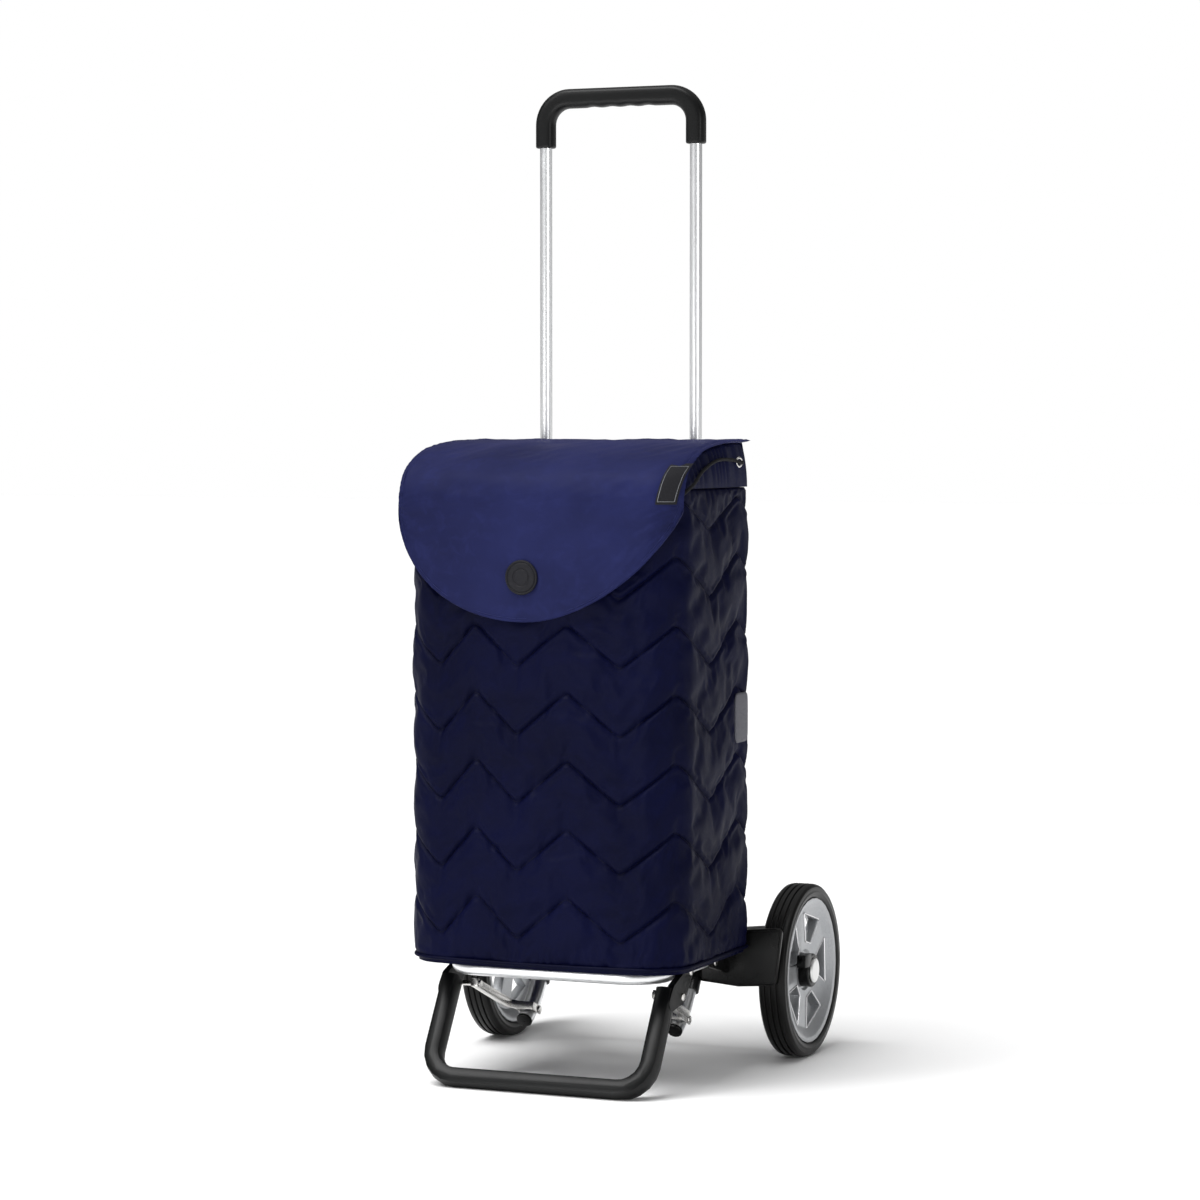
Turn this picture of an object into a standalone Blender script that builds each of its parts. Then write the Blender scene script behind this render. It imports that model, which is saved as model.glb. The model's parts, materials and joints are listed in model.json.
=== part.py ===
"""Shopping trolley: a soft bag with a lid on a folding tube frame with two large wheels.

Sizes are in metres, +Z is up and the bag faces -Y. "Left" and "right" are as seen from the front.
Distances in Y are measured from the wheels' axle line, and the empty "trolley" puts that line
where the origin falls at the middle of the trolley's footprint.
"""

from math import atan2, cos, pi, radians, sin

import bmesh
import bpy
from mathutils import Matrix, Vector

# Clearances
GAP = 0.0003          # between two pieces that touch
PLAY = 0.0005         # between a moving piece and what it passes

# Wheels
WHEEL_RADIUS = 0.100
WHEEL_WIDTH = 0.0332
WHEEL_TRACK = 0.3734  # between the wheels' middle planes
RIM_RADIUS = 0.0835
HUB_RADIUS = 0.0165
AXLE_RADIUS = 0.005
BUSH_WALL = 0.0027
COLLAR_RADIUS = 0.0195
CAP_RADIUS = 0.0145
RIM_WINDOWS = 5
RIM_TURN = radians(14.5)  # of the first window, back from straight up

# Frame tubes
POST_SPACING = 0.1858
POST_SETBACK = 0.0956  # from the axle line forward to the posts
FRAME_TUBE_RADIUS = 0.0095
FRAME_TUBE_WALL = 0.0012
FRAME_BEND_RADIUS = 0.127
FRAME_BEND_ANGLE = radians(60)
FRAME_BEND_RISE = 0.058  # from the axle up to where the bend starts
LINK_PIN_ANGLE = radians(52)

# Housings
WING_THICKNESS = 0.004  # of the plate in front of the tyre

# Handle
HANDLE_HEIGHT = 1.118
GUIDE_WALL = 0.0007
HANDLE_TUBE_RADIUS = FRAME_TUBE_RADIUS - FRAME_TUBE_WALL - GUIDE_WALL - 2 * GAP
HANDLE_TUBE_WALL = 0.001
HANDLE_CORNER = 0.030
HANDLE_INSERT = 0.100  # how far the handle stays inside the frame tubes at full height
GRIP_LEG = 0.0673      # from the grip's top down to its ends
GRIP_DEPTH = 0.0215
GRIP_THICKNESS = 0.0225
GUIDE_LENGTH = 0.020
BRIDGE_WALL = 0.0027
BUTTON_TRAVEL = 0.003

# Shelf, foot and links
SHELF_RISE = 0.027     # from the axle up to the shelf tube
SHELF_HALF = 0.124
SHELF_TUBE_RADIUS = 0.008
SHELF_TUBE_WALL = 0.0012
SHELF_CORNER = 0.040
SHELF_FRONT_INSET = 0.043   # the shelf's front tube behind the bag's front
SHELF_PIVOT_AHEAD = 0.0544  # ahead of the posts
FOOT_PIVOT_AHEAD = 0.079    # ahead of the shelf's pivot
LINK_EYE_OFFSET = Vector((-0.024, -0.025))  # from the foot's pivot, in Y and Z
LEG_TOP_OFFSET = Vector((-0.0462, -0.0155))
FOOT_FRONT_INSET = 0.0041   # the foot's bar behind the bag's front
FOOT_WIDTH = 0.020
FOOT_DEPTH = 0.024
FOOT_CORNER = 0.032
FOOT_SINK = 0.0018          # how much of the bar's underside is flat
LUG_THICKNESS = 0.0074
PIVOT_EYE_RADIUS = 0.0077
PIN_RADIUS = 0.003
SHELF_PIN_RADIUS = 0.0035
RIVET_HEAD = 0.005
RIVET_HEAD_HEIGHT = 0.0014
LINK_WIDTH = 0.0085
LINK_DEPTH = 0.009
LINK_PLATE = 0.002
LINK_FORK = 0.0165

# Bag
BAG_WIDTH = 0.330
BAG_DEPTH = 0.2316
BAG_HEIGHT = 0.5265
BAG_WALL = 0.004
BAG_BOW = 0.008         # how far the front bows out
BAG_FRONT_CORNER = 0.048
BAG_BACK_CORNER = 0.008
BAG_BACK_AHEAD = FRAME_TUBE_RADIUS + 0.0063  # the bag's back ahead of the posts
BOARD_THICKNESS = 0.003
BOARD_MARGIN = 0.003
PIPING_RADIUS = 0.002
COLLAR_BACK_HEIGHT = 0.0505
COLLAR_FRONT_HEIGHT = 0.014
COLLAR_WALL = 0.002
COLLAR_GATHER = 0.010   # how far the drawstring pulls the collar in at its top
EYELET_RADIUS = 0.0063
EYELET_BORE = 0.0036
EYELET_AHEAD = 0.029    # ahead of the bag's back
EYELET_RISE = 0.028     # above the seam
CORD_RADIUS = 0.002
PLUNGER_TRAVEL = 0.0015
REFLECTOR_WIDTH = 0.040
REFLECTOR_HEIGHT = 0.056
REFLECTOR_RISE = 0.240  # its lower edge above the bag's bottom
LOOP_HEIGHT = 0.020
LOOP_WALL = 0.0022

# Lid
LID_HALF = 0.166
LID_THICKNESS = 0.003
LID_STAND_OFF = 0.0075  # between the bag's front and the lid's hanging front
LID_BOW = 0.016
LID_DROP_START = 0.023  # below the seam, where the hanging front starts to narrow
LID_DROP = 0.122
LID_TIP_X = -0.009      # the tip hangs a little to one side
LID_RIGHT_CUT = 0.018
LID_RIGHT_PULL = 0.018
PATCH_RADIUS = 0.019
PATCH_THICKNESS = 0.003
PATCH_RISE = 0.049      # its middle above the lid's tip
LABEL_LENGTH = 0.043
LABEL_WIDTH = 0.019

# Places worked out from the sizes above
AXLE_Z = WHEEL_RADIUS
WHEEL_X = WHEEL_TRACK / 2
POST_X = POST_SPACING / 2
POST_Y = -POST_SETBACK
BEND_TOP = AXLE_Z + FRAME_BEND_RISE
SHELF_Z = AXLE_Z + SHELF_RISE
BAG_BACK = POST_Y - BAG_BACK_AHEAD
BAG_FRONT = BAG_BACK - BAG_DEPTH
BAG_HALF = BAG_WIDTH / 2
BAG_BOTTOM = SHELF_Z + SHELF_TUBE_RADIUS + PLAY
SEAM_Z = BAG_BOTTOM + BAG_HEIGHT
WING_FRONT = BAG_BACK + 2 * PIPING_RADIUS + 0.001
SHELF_FRONT = BAG_FRONT + SHELF_FRONT_INSET
FRAME_TOP = SEAM_Z + 0.034
HANDLE_LOW = FRAME_TOP - HANDLE_INSERT
HANDLE_TOP = HANDLE_HEIGHT - GRIP_THICKNESS / 2
LID_BACK_Z = SEAM_Z + COLLAR_BACK_HEIGHT + GAP
LID_FRONT = BAG_FRONT - LID_STAND_OFF - LID_THICKNESS
LID_TIP_Z = SEAM_Z - LID_DROP_START - LID_DROP
FRONT_REACH = -(LID_FRONT - GAP - PATCH_THICKNESS)
AXLE_Y = (FRONT_REACH - WHEEL_RADIUS) / 2

SHELF_PIVOT = Vector((POST_Y - SHELF_PIVOT_AHEAD, SHELF_Z))
FOOT_PIVOT = SHELF_PIVOT + Vector((-FOOT_PIVOT_AHEAD, 0))
LINK_EYE = FOOT_PIVOT + LINK_EYE_OFFSET
LEG_TOP = FOOT_PIVOT + LEG_TOP_OFFSET
FOOT_BAR = Vector((BAG_FRONT + FOOT_FRONT_INSET, FOOT_DEPTH / 2 - FOOT_SINK))
LUG_IN = SHELF_HALF + SHELF_TUBE_RADIUS + PLAY
LUG_OUT = LUG_IN + LUG_THICKNESS
LINK_OUT = SHELF_HALF - SHELF_TUBE_RADIUS - 0.0015
LINK_IN = LINK_OUT - LINK_WIDTH
RIGHT, UP = Vector((1, 0, 0)), Vector((0, 0, 1))
FRONT = Vector((0, -1, 0))
SIDES = (("left", -1), ("right", 1))

PIVOTS = {}
MATERIALS = {}


# Scene helpers

def clear_scene():
    for obj in list(bpy.data.objects):
        bpy.data.objects.remove(obj)


def material(name, colour, roughness, metallic=0.0):
    made = bpy.data.materials.new(name)
    made.use_nodes = True
    shader = made.node_tree.nodes["Principled BSDF"]
    shader.inputs["Base Color"].default_value = (*colour, 1)
    shader.inputs["Roughness"].default_value = roughness
    shader.inputs["Metallic"].default_value = metallic
    MATERIALS[name] = made


def make_materials():
    material("aluminium", (0.78, 0.79, 0.80), 0.25, 1.0)
    material("steel", (0.62, 0.62, 0.63), 0.3, 1.0)
    material("black_plastic", (0.02, 0.021, 0.022), 0.4)
    material("grip_plastic", (0.022, 0.024, 0.026), 0.5)
    material("rubber", (0.018, 0.018, 0.018), 0.7)
    material("rim_plastic", (0.48, 0.49, 0.51), 0.35, 0.5)
    material("navy_fabric", (0.018, 0.018, 0.06), 0.7)
    material("lid_fabric", (0.03, 0.03, 0.11), 0.6)
    material("black_trim", (0.012, 0.012, 0.014), 0.6)
    material("reflective", (0.45, 0.46, 0.48), 0.4)
    material("board", (0.05, 0.05, 0.05), 0.8)


def pivot(name, place, parent=None):
    """An empty on a joint's axis. Place is X, Y from the axle line, and Z."""
    empty = bpy.data.objects.new(name, None)
    bpy.context.scene.collection.objects.link(empty)
    PIVOTS[name] = Vector(place)
    if parent is None:
        empty.location = place
    else:
        empty.parent = bpy.data.objects[parent]
        empty.location = PIVOTS[name] - PIVOTS[parent]


def solid(name, bm, look, on="trolley"):
    """An object from bm, whose points are in the trolley's frame, hung on the empty called on."""
    bmesh.ops.recalc_face_normals(bm, faces=bm.faces)
    if on != "trolley":
        bm.transform(Matrix.Translation(-PIVOTS[on]))
    mesh = bpy.data.meshes.new(name)
    bm.to_mesh(mesh)
    bm.free()
    mesh.shade_smooth()
    mesh.set_sharp_from_angle(angle=radians(40))
    obj = bpy.data.objects.new(name, mesh)
    bpy.context.scene.collection.objects.link(obj)
    obj.parent = bpy.data.objects[on]
    if look:
        mesh.materials.append(MATERIALS[look])
    return obj


def helper(name, bm):
    """A hidden shape that a Boolean uses."""
    obj = solid(name, bm, None)
    obj.hide_render = True
    obj.display_type = "WIRE"
    return obj


def boolean(obj, tool, operation):
    modifier = obj.modifiers.new(tool.name, "BOOLEAN")
    modifier.operation = operation
    modifier.solver = "EXACT"
    modifier.object = tool


def cut(obj, *tools):
    for tool in tools:
        boolean(obj, tool, "DIFFERENCE")


def weld(obj, *tools):
    for tool in tools:
        boolean(obj, tool, "UNION")


# Shape helpers

def skin(rings, wrap=False):
    """Walls between rings of equally many points; without wrap, the first and last ring are capped."""
    bm = bmesh.new()
    loops = [[bm.verts.new(point) for point in ring] for ring in rings]
    ends = loops[1:] + loops[:1] if wrap else loops[1:]
    for a, b in zip(loops, ends):
        for k in range(len(a)):
            n = (k + 1) % len(a)
            bm.faces.new((a[k], a[n], b[n], b[k]))
    if not wrap:
        bm.faces.new(loops[0][::-1])
        bm.faces.new(loops[-1])
    return bm


def circle(radius, count):
    return [(radius * cos(2 * pi * k / count), radius * sin(2 * pi * k / count)) for k in range(count)]


def rounded(half_a, half_b, count, power=3.5):
    """A superellipse: the higher the power, the squarer it is."""
    points = []
    for k in range(count):
        c, s = cos(2 * pi * (k + 0.5) / count), sin(2 * pi * (k + 0.5) / count)
        scale = (abs(c) ** power + abs(s) ** power) ** (-1 / power)
        points.append((half_a * scale * c, half_b * scale * s))
    return points


def carried(path, normal, outlines):
    """Rings of an outline carried along a flat path. An outline's first number goes along normal."""
    rings = []
    for k, point in enumerate(path):
        tangent = path[min(k + 1, len(path) - 1)] - path[max(k - 1, 0)]
        across = normal.cross(tangent).normalized()
        outline = outlines[k] if isinstance(outlines[0], list) else outlines
        rings.append([point + a * normal + b * across for a, b in outline])
    return rings


def tube(path, normal, radius, wall, count):
    outer = carried(path, normal, circle(radius, count))
    inner = carried(path, normal, circle(radius - wall, count))
    return skin(outer + inner[::-1], wrap=True)


def bend(centre, radius, start, turn, steps, first=0):
    """Points on an arc in a plane given by centre and two unit vectors in start."""
    return [
        centre + radius * (cos(turn * k / steps) * start[0] + sin(turn * k / steps) * start[1])
        for k in range(first, steps + 1)
    ]


def turned(profile, count, place, axis="X"):
    """A profile of (radius, distance along the axis) turned round an axis through place."""
    bm = bmesh.new()
    columns = []
    for radius, along in profile:
        if radius == 0:
            columns.append([bm.verts.new((along, 0, 0))] * count)
        else:
            columns.append([bm.verts.new((along, y, z)) for y, z in circle(radius, count)])
    closing = [] if profile[0][0] == 0 else [(columns[-1], columns[0])]
    for a, b in list(zip(columns, columns[1:])) + closing:
        for k in range(count):
            n = (k + 1) % count
            corners = dict.fromkeys((a[k], a[n], b[n], b[k]))
            bm.faces.new(list(corners))
    turn = {"X": Matrix(), "Z": Matrix.Rotation(-pi / 2, 4, "Y"), "Y": Matrix.Rotation(pi / 2, 4, "Z")}
    bm.transform(Matrix.Translation(place) @ (turn[axis] if isinstance(axis, str) else axis))
    return bm


def rod(radius, start, end, place, count=12, axis="X"):
    return turned([(0, start), (radius, start), (radius, end), (0, end)], count, place, axis)


def washer(bore, radius, start, end, place, count=16, axis="X"):
    loop = [(bore, start), (radius, start), (radius, end), (bore, end)]
    return turned(loop, count, place, axis)


def block(low, high):
    bm = bmesh.new()
    bmesh.ops.create_cube(bm, size=1)
    low, high = Vector(low), Vector(high)
    size = high - low
    bm.transform(Matrix.Translation((low + high) / 2) @ Matrix.Diagonal((*size, 1)))
    return bm


def plate(outline, start, end):
    """An outline in Y and Z, given thickness along X."""
    return skin([[Vector((x, y, z)) for y, z in outline] for x in (start, end)])


def hull_plate(discs, start, end, count=20):
    """The outline that a string round some discs (y, z, radius) would take, given thickness along X."""
    bm = bmesh.new()
    for y, z, radius in discs:
        for a, b in circle(radius, count):
            for x in (start, end):
                bm.verts.new((x, y + a, z + b))
    made = bmesh.ops.convex_hull(bm, input=bm.verts)
    inner = made["geom_interior"] + made["geom_unused"]
    spare = {item for item in inner if isinstance(item, bmesh.types.BMVert)}
    bmesh.ops.delete(bm, geom=list(spare), context="VERTS")
    bmesh.ops.dissolve_limit(bm, angle_limit=radians(1), verts=bm.verts, edges=bm.edges)
    return bm


# Frame tubes

def frame_point(angle):
    """The middle of the frame tube in Y and Z, where the bend has turned by angle."""
    return Vector((
        POST_Y - FRAME_BEND_RADIUS * (1 - cos(angle)),
        BEND_TOP - FRAME_BEND_RADIUS * sin(angle),
    ))


def frame_path(x):
    path = [Vector((x, POST_Y, FRAME_TOP))]
    for k in range(8):
        path.append(Vector((x, *frame_point(FRAME_BEND_ANGLE * k / 7))))
    return path


def frame_tubes():
    for side, s in SIDES:
        shape = tube(frame_path(s * POST_X), RIGHT, FRAME_TUBE_RADIUS, FRAME_TUBE_WALL, 16)
        obj = solid(f"{side}_frame_tube", shape, "aluminium")
        cut(obj, bpy.data.objects[f"{side}_link_pin_hole"])


def link_pin_holes():
    y, z = frame_point(LINK_PIN_ANGLE)
    reach = FRAME_TUBE_RADIUS + 0.010
    for side, s in SIDES:
        shape = rod(PIN_RADIUS + GAP, -reach, reach, (s * POST_X, y, z))
        helper(f"{side}_link_pin_hole", shape)


def tube_end_plugs():
    """A cap that covers the tube's cut end, on a spigot that sits in its bore."""
    before, end = frame_path(0)[-2:]
    steepness = atan2(before.z - end.z, before.y - end.y)
    outward = Matrix.Rotation(steepness, 4, "X") @ Matrix.Rotation(-pi / 2, 4, "Z")
    spigot = FRAME_TUBE_RADIUS - FRAME_TUBE_WALL - GAP
    profile = [
        (0, -0.006), (spigot, -0.006), (spigot, GAP), (FRAME_TUBE_RADIUS, GAP),
        (FRAME_TUBE_RADIUS, 0.0018), (FRAME_TUBE_RADIUS - 0.0012, 0.003), (0, 0.0034),
    ]
    for side, s in SIDES:
        shape = turned(profile, 16, (s * POST_X, end.y, end.z), outward)
        solid(f"{side}_tube_plug", shape, "black_plastic")


# Handle

def upper_bridge():
    """Two collars on the frame tubes' tops and the beam between them, with a pocket for the button."""
    low, high = FRAME_TOP - GUIDE_LENGTH - 0.004, FRAME_TOP
    radius = FRAME_TUBE_RADIUS + BRIDGE_WALL
    beam = block((-POST_X, POST_Y - 0.006, low + 0.003), (POST_X, POST_Y + 0.010, high - 0.004))
    obj = solid("upper_bridge", beam, "black_plastic")
    for side, s in SIDES:
        place = (s * POST_X, POST_Y, 0)
        weld(obj, helper(f"{side}_bridge_collar", rod(radius, low, high, place, 20, "Z")))
        bore = FRAME_TUBE_RADIUS + GAP
        cut(obj, helper(f"{side}_bridge_bore", rod(bore, low - 0.01, high + 0.01, place, 16, "Z")))
    middle = (low + high) / 2 - 0.0005
    pocket = block((-0.0085, POST_Y + 0.0015, middle - 0.0055), (0.0085, POST_Y + 0.02, middle + 0.0055))
    cut(obj, helper("button_pocket", pocket))
    pivot("height_release", (0, POST_Y + 0.010, middle), "trolley")
    half_x, half_z = 0.0085 - PLAY, 0.0055 - PLAY
    bottom = POST_Y + 0.0015 + PLAY + BUTTON_TRAVEL
    button = block((-half_x, bottom, middle - half_z), (half_x, POST_Y + 0.010 + 0.004, middle + half_z))
    bmesh.ops.bevel(button, geom=button.edges[:], offset=0.0008, segments=2, affect="EDGES")
    solid("height_button", button, "black_plastic", "height_release")


def guide_bushes():
    """A plastic sleeve in each frame tube's mouth, in which the handle tube slides."""
    bore = HANDLE_TUBE_RADIUS + GAP
    sleeve = FRAME_TUBE_RADIUS - FRAME_TUBE_WALL - GAP
    profile = [
        (bore, FRAME_TOP - GUIDE_LENGTH), (sleeve, FRAME_TOP - GUIDE_LENGTH), (sleeve, FRAME_TOP + GAP),
        (FRAME_TUBE_RADIUS, FRAME_TOP + GAP), (FRAME_TUBE_RADIUS - 0.0004, FRAME_TOP + 0.002),
        (bore, FRAME_TOP + 0.002),
    ]
    for side, s in SIDES:
        solid(f"{side}_guide_bush", turned(profile, 16, (s * POST_X, POST_Y, 0), "Z"), "black_plastic")


def handle_path(low, steps=5, middle=()):
    """The handle's U from the left leg's lower end over the top to the right one's."""
    left = Vector((-POST_X + HANDLE_CORNER, POST_Y, HANDLE_TOP - HANDLE_CORNER))
    right = Vector((POST_X - HANDLE_CORNER, POST_Y, HANDLE_TOP - HANDLE_CORNER))
    path = [Vector((-POST_X, POST_Y, low))]
    path += bend(left, HANDLE_CORNER, (-RIGHT, UP), pi / 2, steps)
    path += [Vector((x, POST_Y, HANDLE_TOP)) for x in middle]
    path += bend(right, HANDLE_CORNER, (UP, RIGHT), pi / 2, steps)
    path.append(Vector((POST_X, POST_Y, low)))
    return path


def handle_tube():
    shape = tube(handle_path(HANDLE_LOW), FRONT, HANDLE_TUBE_RADIUS, HANDLE_TUBE_WALL, 12)
    solid("handle_tube", shape, "aluminium", "handle_slide")


def handle_grip():
    """A soft sleeve over the top of the handle tube."""
    path = handle_path(HANDLE_HEIGHT - GRIP_LEG, middle=(-0.03, 0, 0.03))
    outer = carried(path, FRONT, rounded(GRIP_DEPTH / 2, GRIP_THICKNESS / 2, 12, 3))
    bore = [(a, b) for a, b in circle(HANDLE_TUBE_RADIUS + GAP, 12)]
    turn = Matrix.Rotation(pi / 12, 2)
    bore = [tuple(turn @ Vector(point)) for point in bore]
    inner = carried(path, FRONT, bore)
    solid("handle_grip", skin(outer + inner[::-1], wrap=True), "grip_plastic", "handle_slide")


def handle_glides():
    """Plastic ends that keep the handle tube's lower ends central in the frame tubes."""
    radius = FRAME_TUBE_RADIUS - FRAME_TUBE_WALL - GAP
    spigot = HANDLE_TUBE_RADIUS - HANDLE_TUBE_WALL - GAP
    profile = [
        (0, HANDLE_LOW - 0.014), (radius - 0.001, HANDLE_LOW - 0.014), (radius, HANDLE_LOW - 0.013),
        (radius, HANDLE_LOW - GAP), (spigot, HANDLE_LOW - GAP), (spigot, HANDLE_LOW + 0.012),
        (0, HANDLE_LOW + 0.012),
    ]
    for side, s in SIDES:
        shape = turned(profile, 16, (s * POST_X, POST_Y, 0), "Z")
        solid(f"{side}_handle_glide", shape, "black_plastic", "handle_slide")


# Wheels and axle

def axle():
    half = WHEEL_X + 0.0118
    solid("cross_axle", rod(AXLE_RADIUS, -half, half, (0, 0, AXLE_Z), 16), "steel")


def tyre_profile(s):
    half = WHEEL_WIDTH / 2
    seat, shoulder, tread = RIM_RADIUS + GAP, WHEEL_RADIUS - 0.0035, WHEEL_RADIUS
    outer = [
        (seat, -half + 0.0016), (seat + 0.006, -half), (shoulder, -half + 0.0006), (tread, -half + 0.0045),
    ]
    grooves = []
    for middle in (-0.007, 0, 0.007):
        grooves += [(tread, middle - 0.0014), (tread - 0.0018, middle), (tread, middle + 0.0014)]
    mirrored = [(radius, -along) for radius, along in outer[::-1]]
    return [(radius, s * along) for radius, along in outer + grooves + mirrored]


def rim_profile(s):
    """Outer face towards +s: a flat ring, a dished web and a sunk hub face for the release collar."""
    half, bore = WHEEL_WIDTH / 2, AXLE_RADIUS + GAP + BUSH_WALL + GAP
    loop = [
        (bore, -half + 0.0004), (HUB_RADIUS, -half + 0.0004), (HUB_RADIUS + 0.001, -0.006), (0.069, -0.004),
        (0.077, -half + 0.0031), (RIM_RADIUS, -half + 0.0018), (RIM_RADIUS, half - 0.0018),
        (0.0765, half - 0.0028),
        (0.070, 0.008), (COLLAR_RADIUS + 0.0045, 0.006), (COLLAR_RADIUS + 0.002, 0.0033), (bore, 0.0033),
    ]
    return [(radius, s * along) for radius, along in loop]


def rim_window(k, s):
    """A cutter for one window through the web, wider towards the tyre."""
    turn = Matrix.Rotation(2 * pi * k / RIM_WINDOWS - RIM_TURN, 3, "X")
    corners = []
    for radius, angle in ((0.034, 13), (0.0665, 22), (0.0665, -22), (0.034, -13)):
        corners.append(turn @ Vector((0, radius * sin(radians(angle)), radius * cos(radians(angle)))))
    rings = []
    for x in (-0.02, 0.02):
        rings.append([Vector((s * WHEEL_X + x, corner.y, AXLE_Z + corner.z)) for corner in corners])
    return skin(rings)


def wheels():
    for side, s in SIDES:
        centre = (s * WHEEL_X, 0, AXLE_Z)
        spin = f"{side}_wheel_spin"
        pivot(spin, centre, "trolley")
        solid(f"{side}_tyre", turned(tyre_profile(s), 32, centre), "rubber", spin)
        rim = solid(f"{side}_rim", turned(rim_profile(s), 32, centre), "rim_plastic", spin)
        for k in range(RIM_WINDOWS):
            cut(rim, helper(f"{side}_rim_window_{k + 1}", rim_window(k, s)))
        bore = AXLE_RADIUS + GAP
        bush = washer(bore, bore + BUSH_WALL, s * (0.0008 - WHEEL_WIDTH / 2), s * 0.003, centre)
        solid(f"{side}_hub_bush", bush, "black_plastic", spin)
        inner = -WHEEL_WIDTH / 2
        disc = washer(bore, 0.010, s * (inner - 0.0011), s * (inner + 0.0001), centre)
        solid(f"{side}_axle_washer", disc, "steel")
        release_collar(side, s, centre)


def release_collar(side, s, centre):
    """The black collar with its thumb tab, and the bright cap on its middle."""
    release = f"{side}_wheel_release"
    pivot(release, centre, f"{side}_wheel_spin")
    face = WHEEL_WIDTH / 2 - GAP
    ring = turned(
        [(AXLE_RADIUS + GAP, s * (0.0033 + GAP)), (COLLAR_RADIUS, s * (0.0033 + GAP)),
         (COLLAR_RADIUS, s * (face - 0.0012)),
         (COLLAR_RADIUS - 0.0012, s * face), (AXLE_RADIUS + GAP, s * face)], 24, centre,
    )
    obj = solid(f"{side}_release_collar", ring, "black_plastic", release)
    x, y, z = centre
    near, far = sorted((x + s * 0.0082, x + s * (face + 0.0022)))
    tab = block((near, y - 0.034, z + 0.0072), (far, y - 0.013, z + 0.0212))
    weld(obj, helper(f"{side}_thumb_tab", tab))
    cap = [
        (0, s * (face + GAP)), (CAP_RADIUS, s * (face + GAP)), (CAP_RADIUS, s * (face + 0.0016)),
        (CAP_RADIUS - 0.001, s * (face + 0.0026)), (0, s * (face + 0.0029)),
    ]
    solid(f"{side}_hub_cap", turned(cap, 24, centre), "aluminium", release)
    cap_clearance = washer(0.0001, CAP_RADIUS + PLAY, s * (face - 0.00005), s * (face + 0.004), centre, 24)
    cut(obj, helper(f"{side}_cap_clearance", cap_clearance))


# Housings that carry the axle and the shelf

def arm_path(s):
    outer = WHEEL_X - WHEEL_WIDTH / 2 - 0.0040
    points = (
        (POST_X, POST_Y + 0.004), (0.107, -0.070), (0.120, -0.040), (0.136, -0.014), (outer - 0.014, 0),
        (outer, 0),
    )
    return [Vector((s * x, y, 0)) for x, y in points]


def wing(s):
    """The plate in front of the tyre and the gusset that joins it to the arm, each with its name."""
    turn = Matrix.Rotation(-pi / 2, 4, "Z")
    plates = {
        "wing": (
            WING_FRONT, WING_FRONT + WING_THICKNESS,
            ((0.1965, 0.056, 0.006), (0.190, 0.002, 0.006), (0.150, -0.003, 0.004),
             (0.104, 0.002, 0.005), (0.104, 0.036, 0.005), (0.150, 0.052, 0.006)),
        ),
        "gusset": (
            WING_FRONT + 0.002, POST_Y + 0.014,
            ((0.106, 0.006, 0.006), (0.118, 0.002, 0.006), (0.118, 0.034, 0.006), (0.106, 0.026, 0.006)),
        ),
    }
    shapes = {}
    for name, (front, back, corners) in plates.items():
        discs = [(s * x, AXLE_Z + rise, radius) for x, rise, radius in corners]
        shapes[name] = hull_plate(discs, -front, -back, 16)
        shapes[name].transform(turn)
    return shapes


def axle_housings():
    """A sleeve on the frame tube's bend, an arm to the wheel, a flange, a cheek for the shelf and a wing."""
    pivot_y, pivot_z = SHELF_PIVOT
    lows = (0.0, -0.010, -0.0145, -0.0165, -0.0165, -0.0145)
    highs = (0.034, 0.044, 0.048, 0.049, 0.049, 0.048)
    halves = (0.010, 0.014, 0.019, 0.023, 0.025, 0.025)
    for side, s in SIDES:
        outlines, path = [], arm_path(s)
        for low, high, half in zip(lows, highs, halves):
            middle, tall = AXLE_Z + (low + high) / 2, (high - low) / 2
            outlines.append([(middle + a, b) for a, b in rounded(tall, half, 16, 4)])
        obj = solid(f"{side}_axle_housing", skin(carried(path, UP, outlines)), "black_plastic")
        route = frame_path(s * POST_X)
        run = [route[2].lerp(route[3], 0.35)] + route[3:6]
        sleeve = carried(run, RIGHT, circle(FRAME_TUBE_RADIUS + 0.003, 16))
        weld(obj, helper(f"{side}_housing_sleeve", skin(sleeve)))
        near, far = sorted((path[-1].x - s * 0.005, path[-1].x + s * 0.0008))
        corners = (
            (0.004, AXLE_Z + 0.044, 0.006), (-0.025, AXLE_Z - 0.006, 0.006),
            (0.036, AXLE_Z + 0.040, 0.008), (0.014, AXLE_Z - 0.012, 0.006),
        )
        weld(obj, helper(f"{side}_housing_flange", hull_plate(corners, near, far, 16)))
        near, far = sorted((s * LUG_IN, s * (LUG_IN + 0.006)))
        discs = (
            (pivot_y, pivot_z, PIVOT_EYE_RADIUS), (-0.030, AXLE_Z + 0.030, 0.004),
            (-0.030, AXLE_Z - 0.008, 0.004),
        )
        weld(obj, helper(f"{side}_shelf_cheek", hull_plate(discs, near, far, 16)))
        for name, shape in wing(s).items():
            weld(obj, helper(f"{side}_housing_{name}", shape))
        boss = WHEEL_X - WHEEL_WIDTH / 2 - 0.0014
        near, far = sorted((s * (boss - 0.016), s * boss))
        weld(obj, helper(f"{side}_axle_boss", rod(0.011, near, far, (0, 0, AXLE_Z), 20)))
        bore = carried(frame_path(s * POST_X), RIGHT, circle(FRAME_TUBE_RADIUS + GAP, 16))
        cut(obj, helper(f"{side}_sleeve_bore", skin(bore)))
        near, far = sorted((s * 0.10, s * (WHEEL_X + 0.01)))
        cut(obj, helper(f"{side}_axle_bore", rod(AXLE_RADIUS + GAP, near, far, (0, 0, AXLE_Z), 16)))
        near, far = sorted((s * (LUG_IN - 0.005), s * (LUG_IN + 0.012)))
        hole = rod(SHELF_PIN_RADIUS + GAP, near, far, (0, pivot_y, pivot_z), 12)
        cut(obj, helper(f"{side}_cheek_hole", hole))


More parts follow.
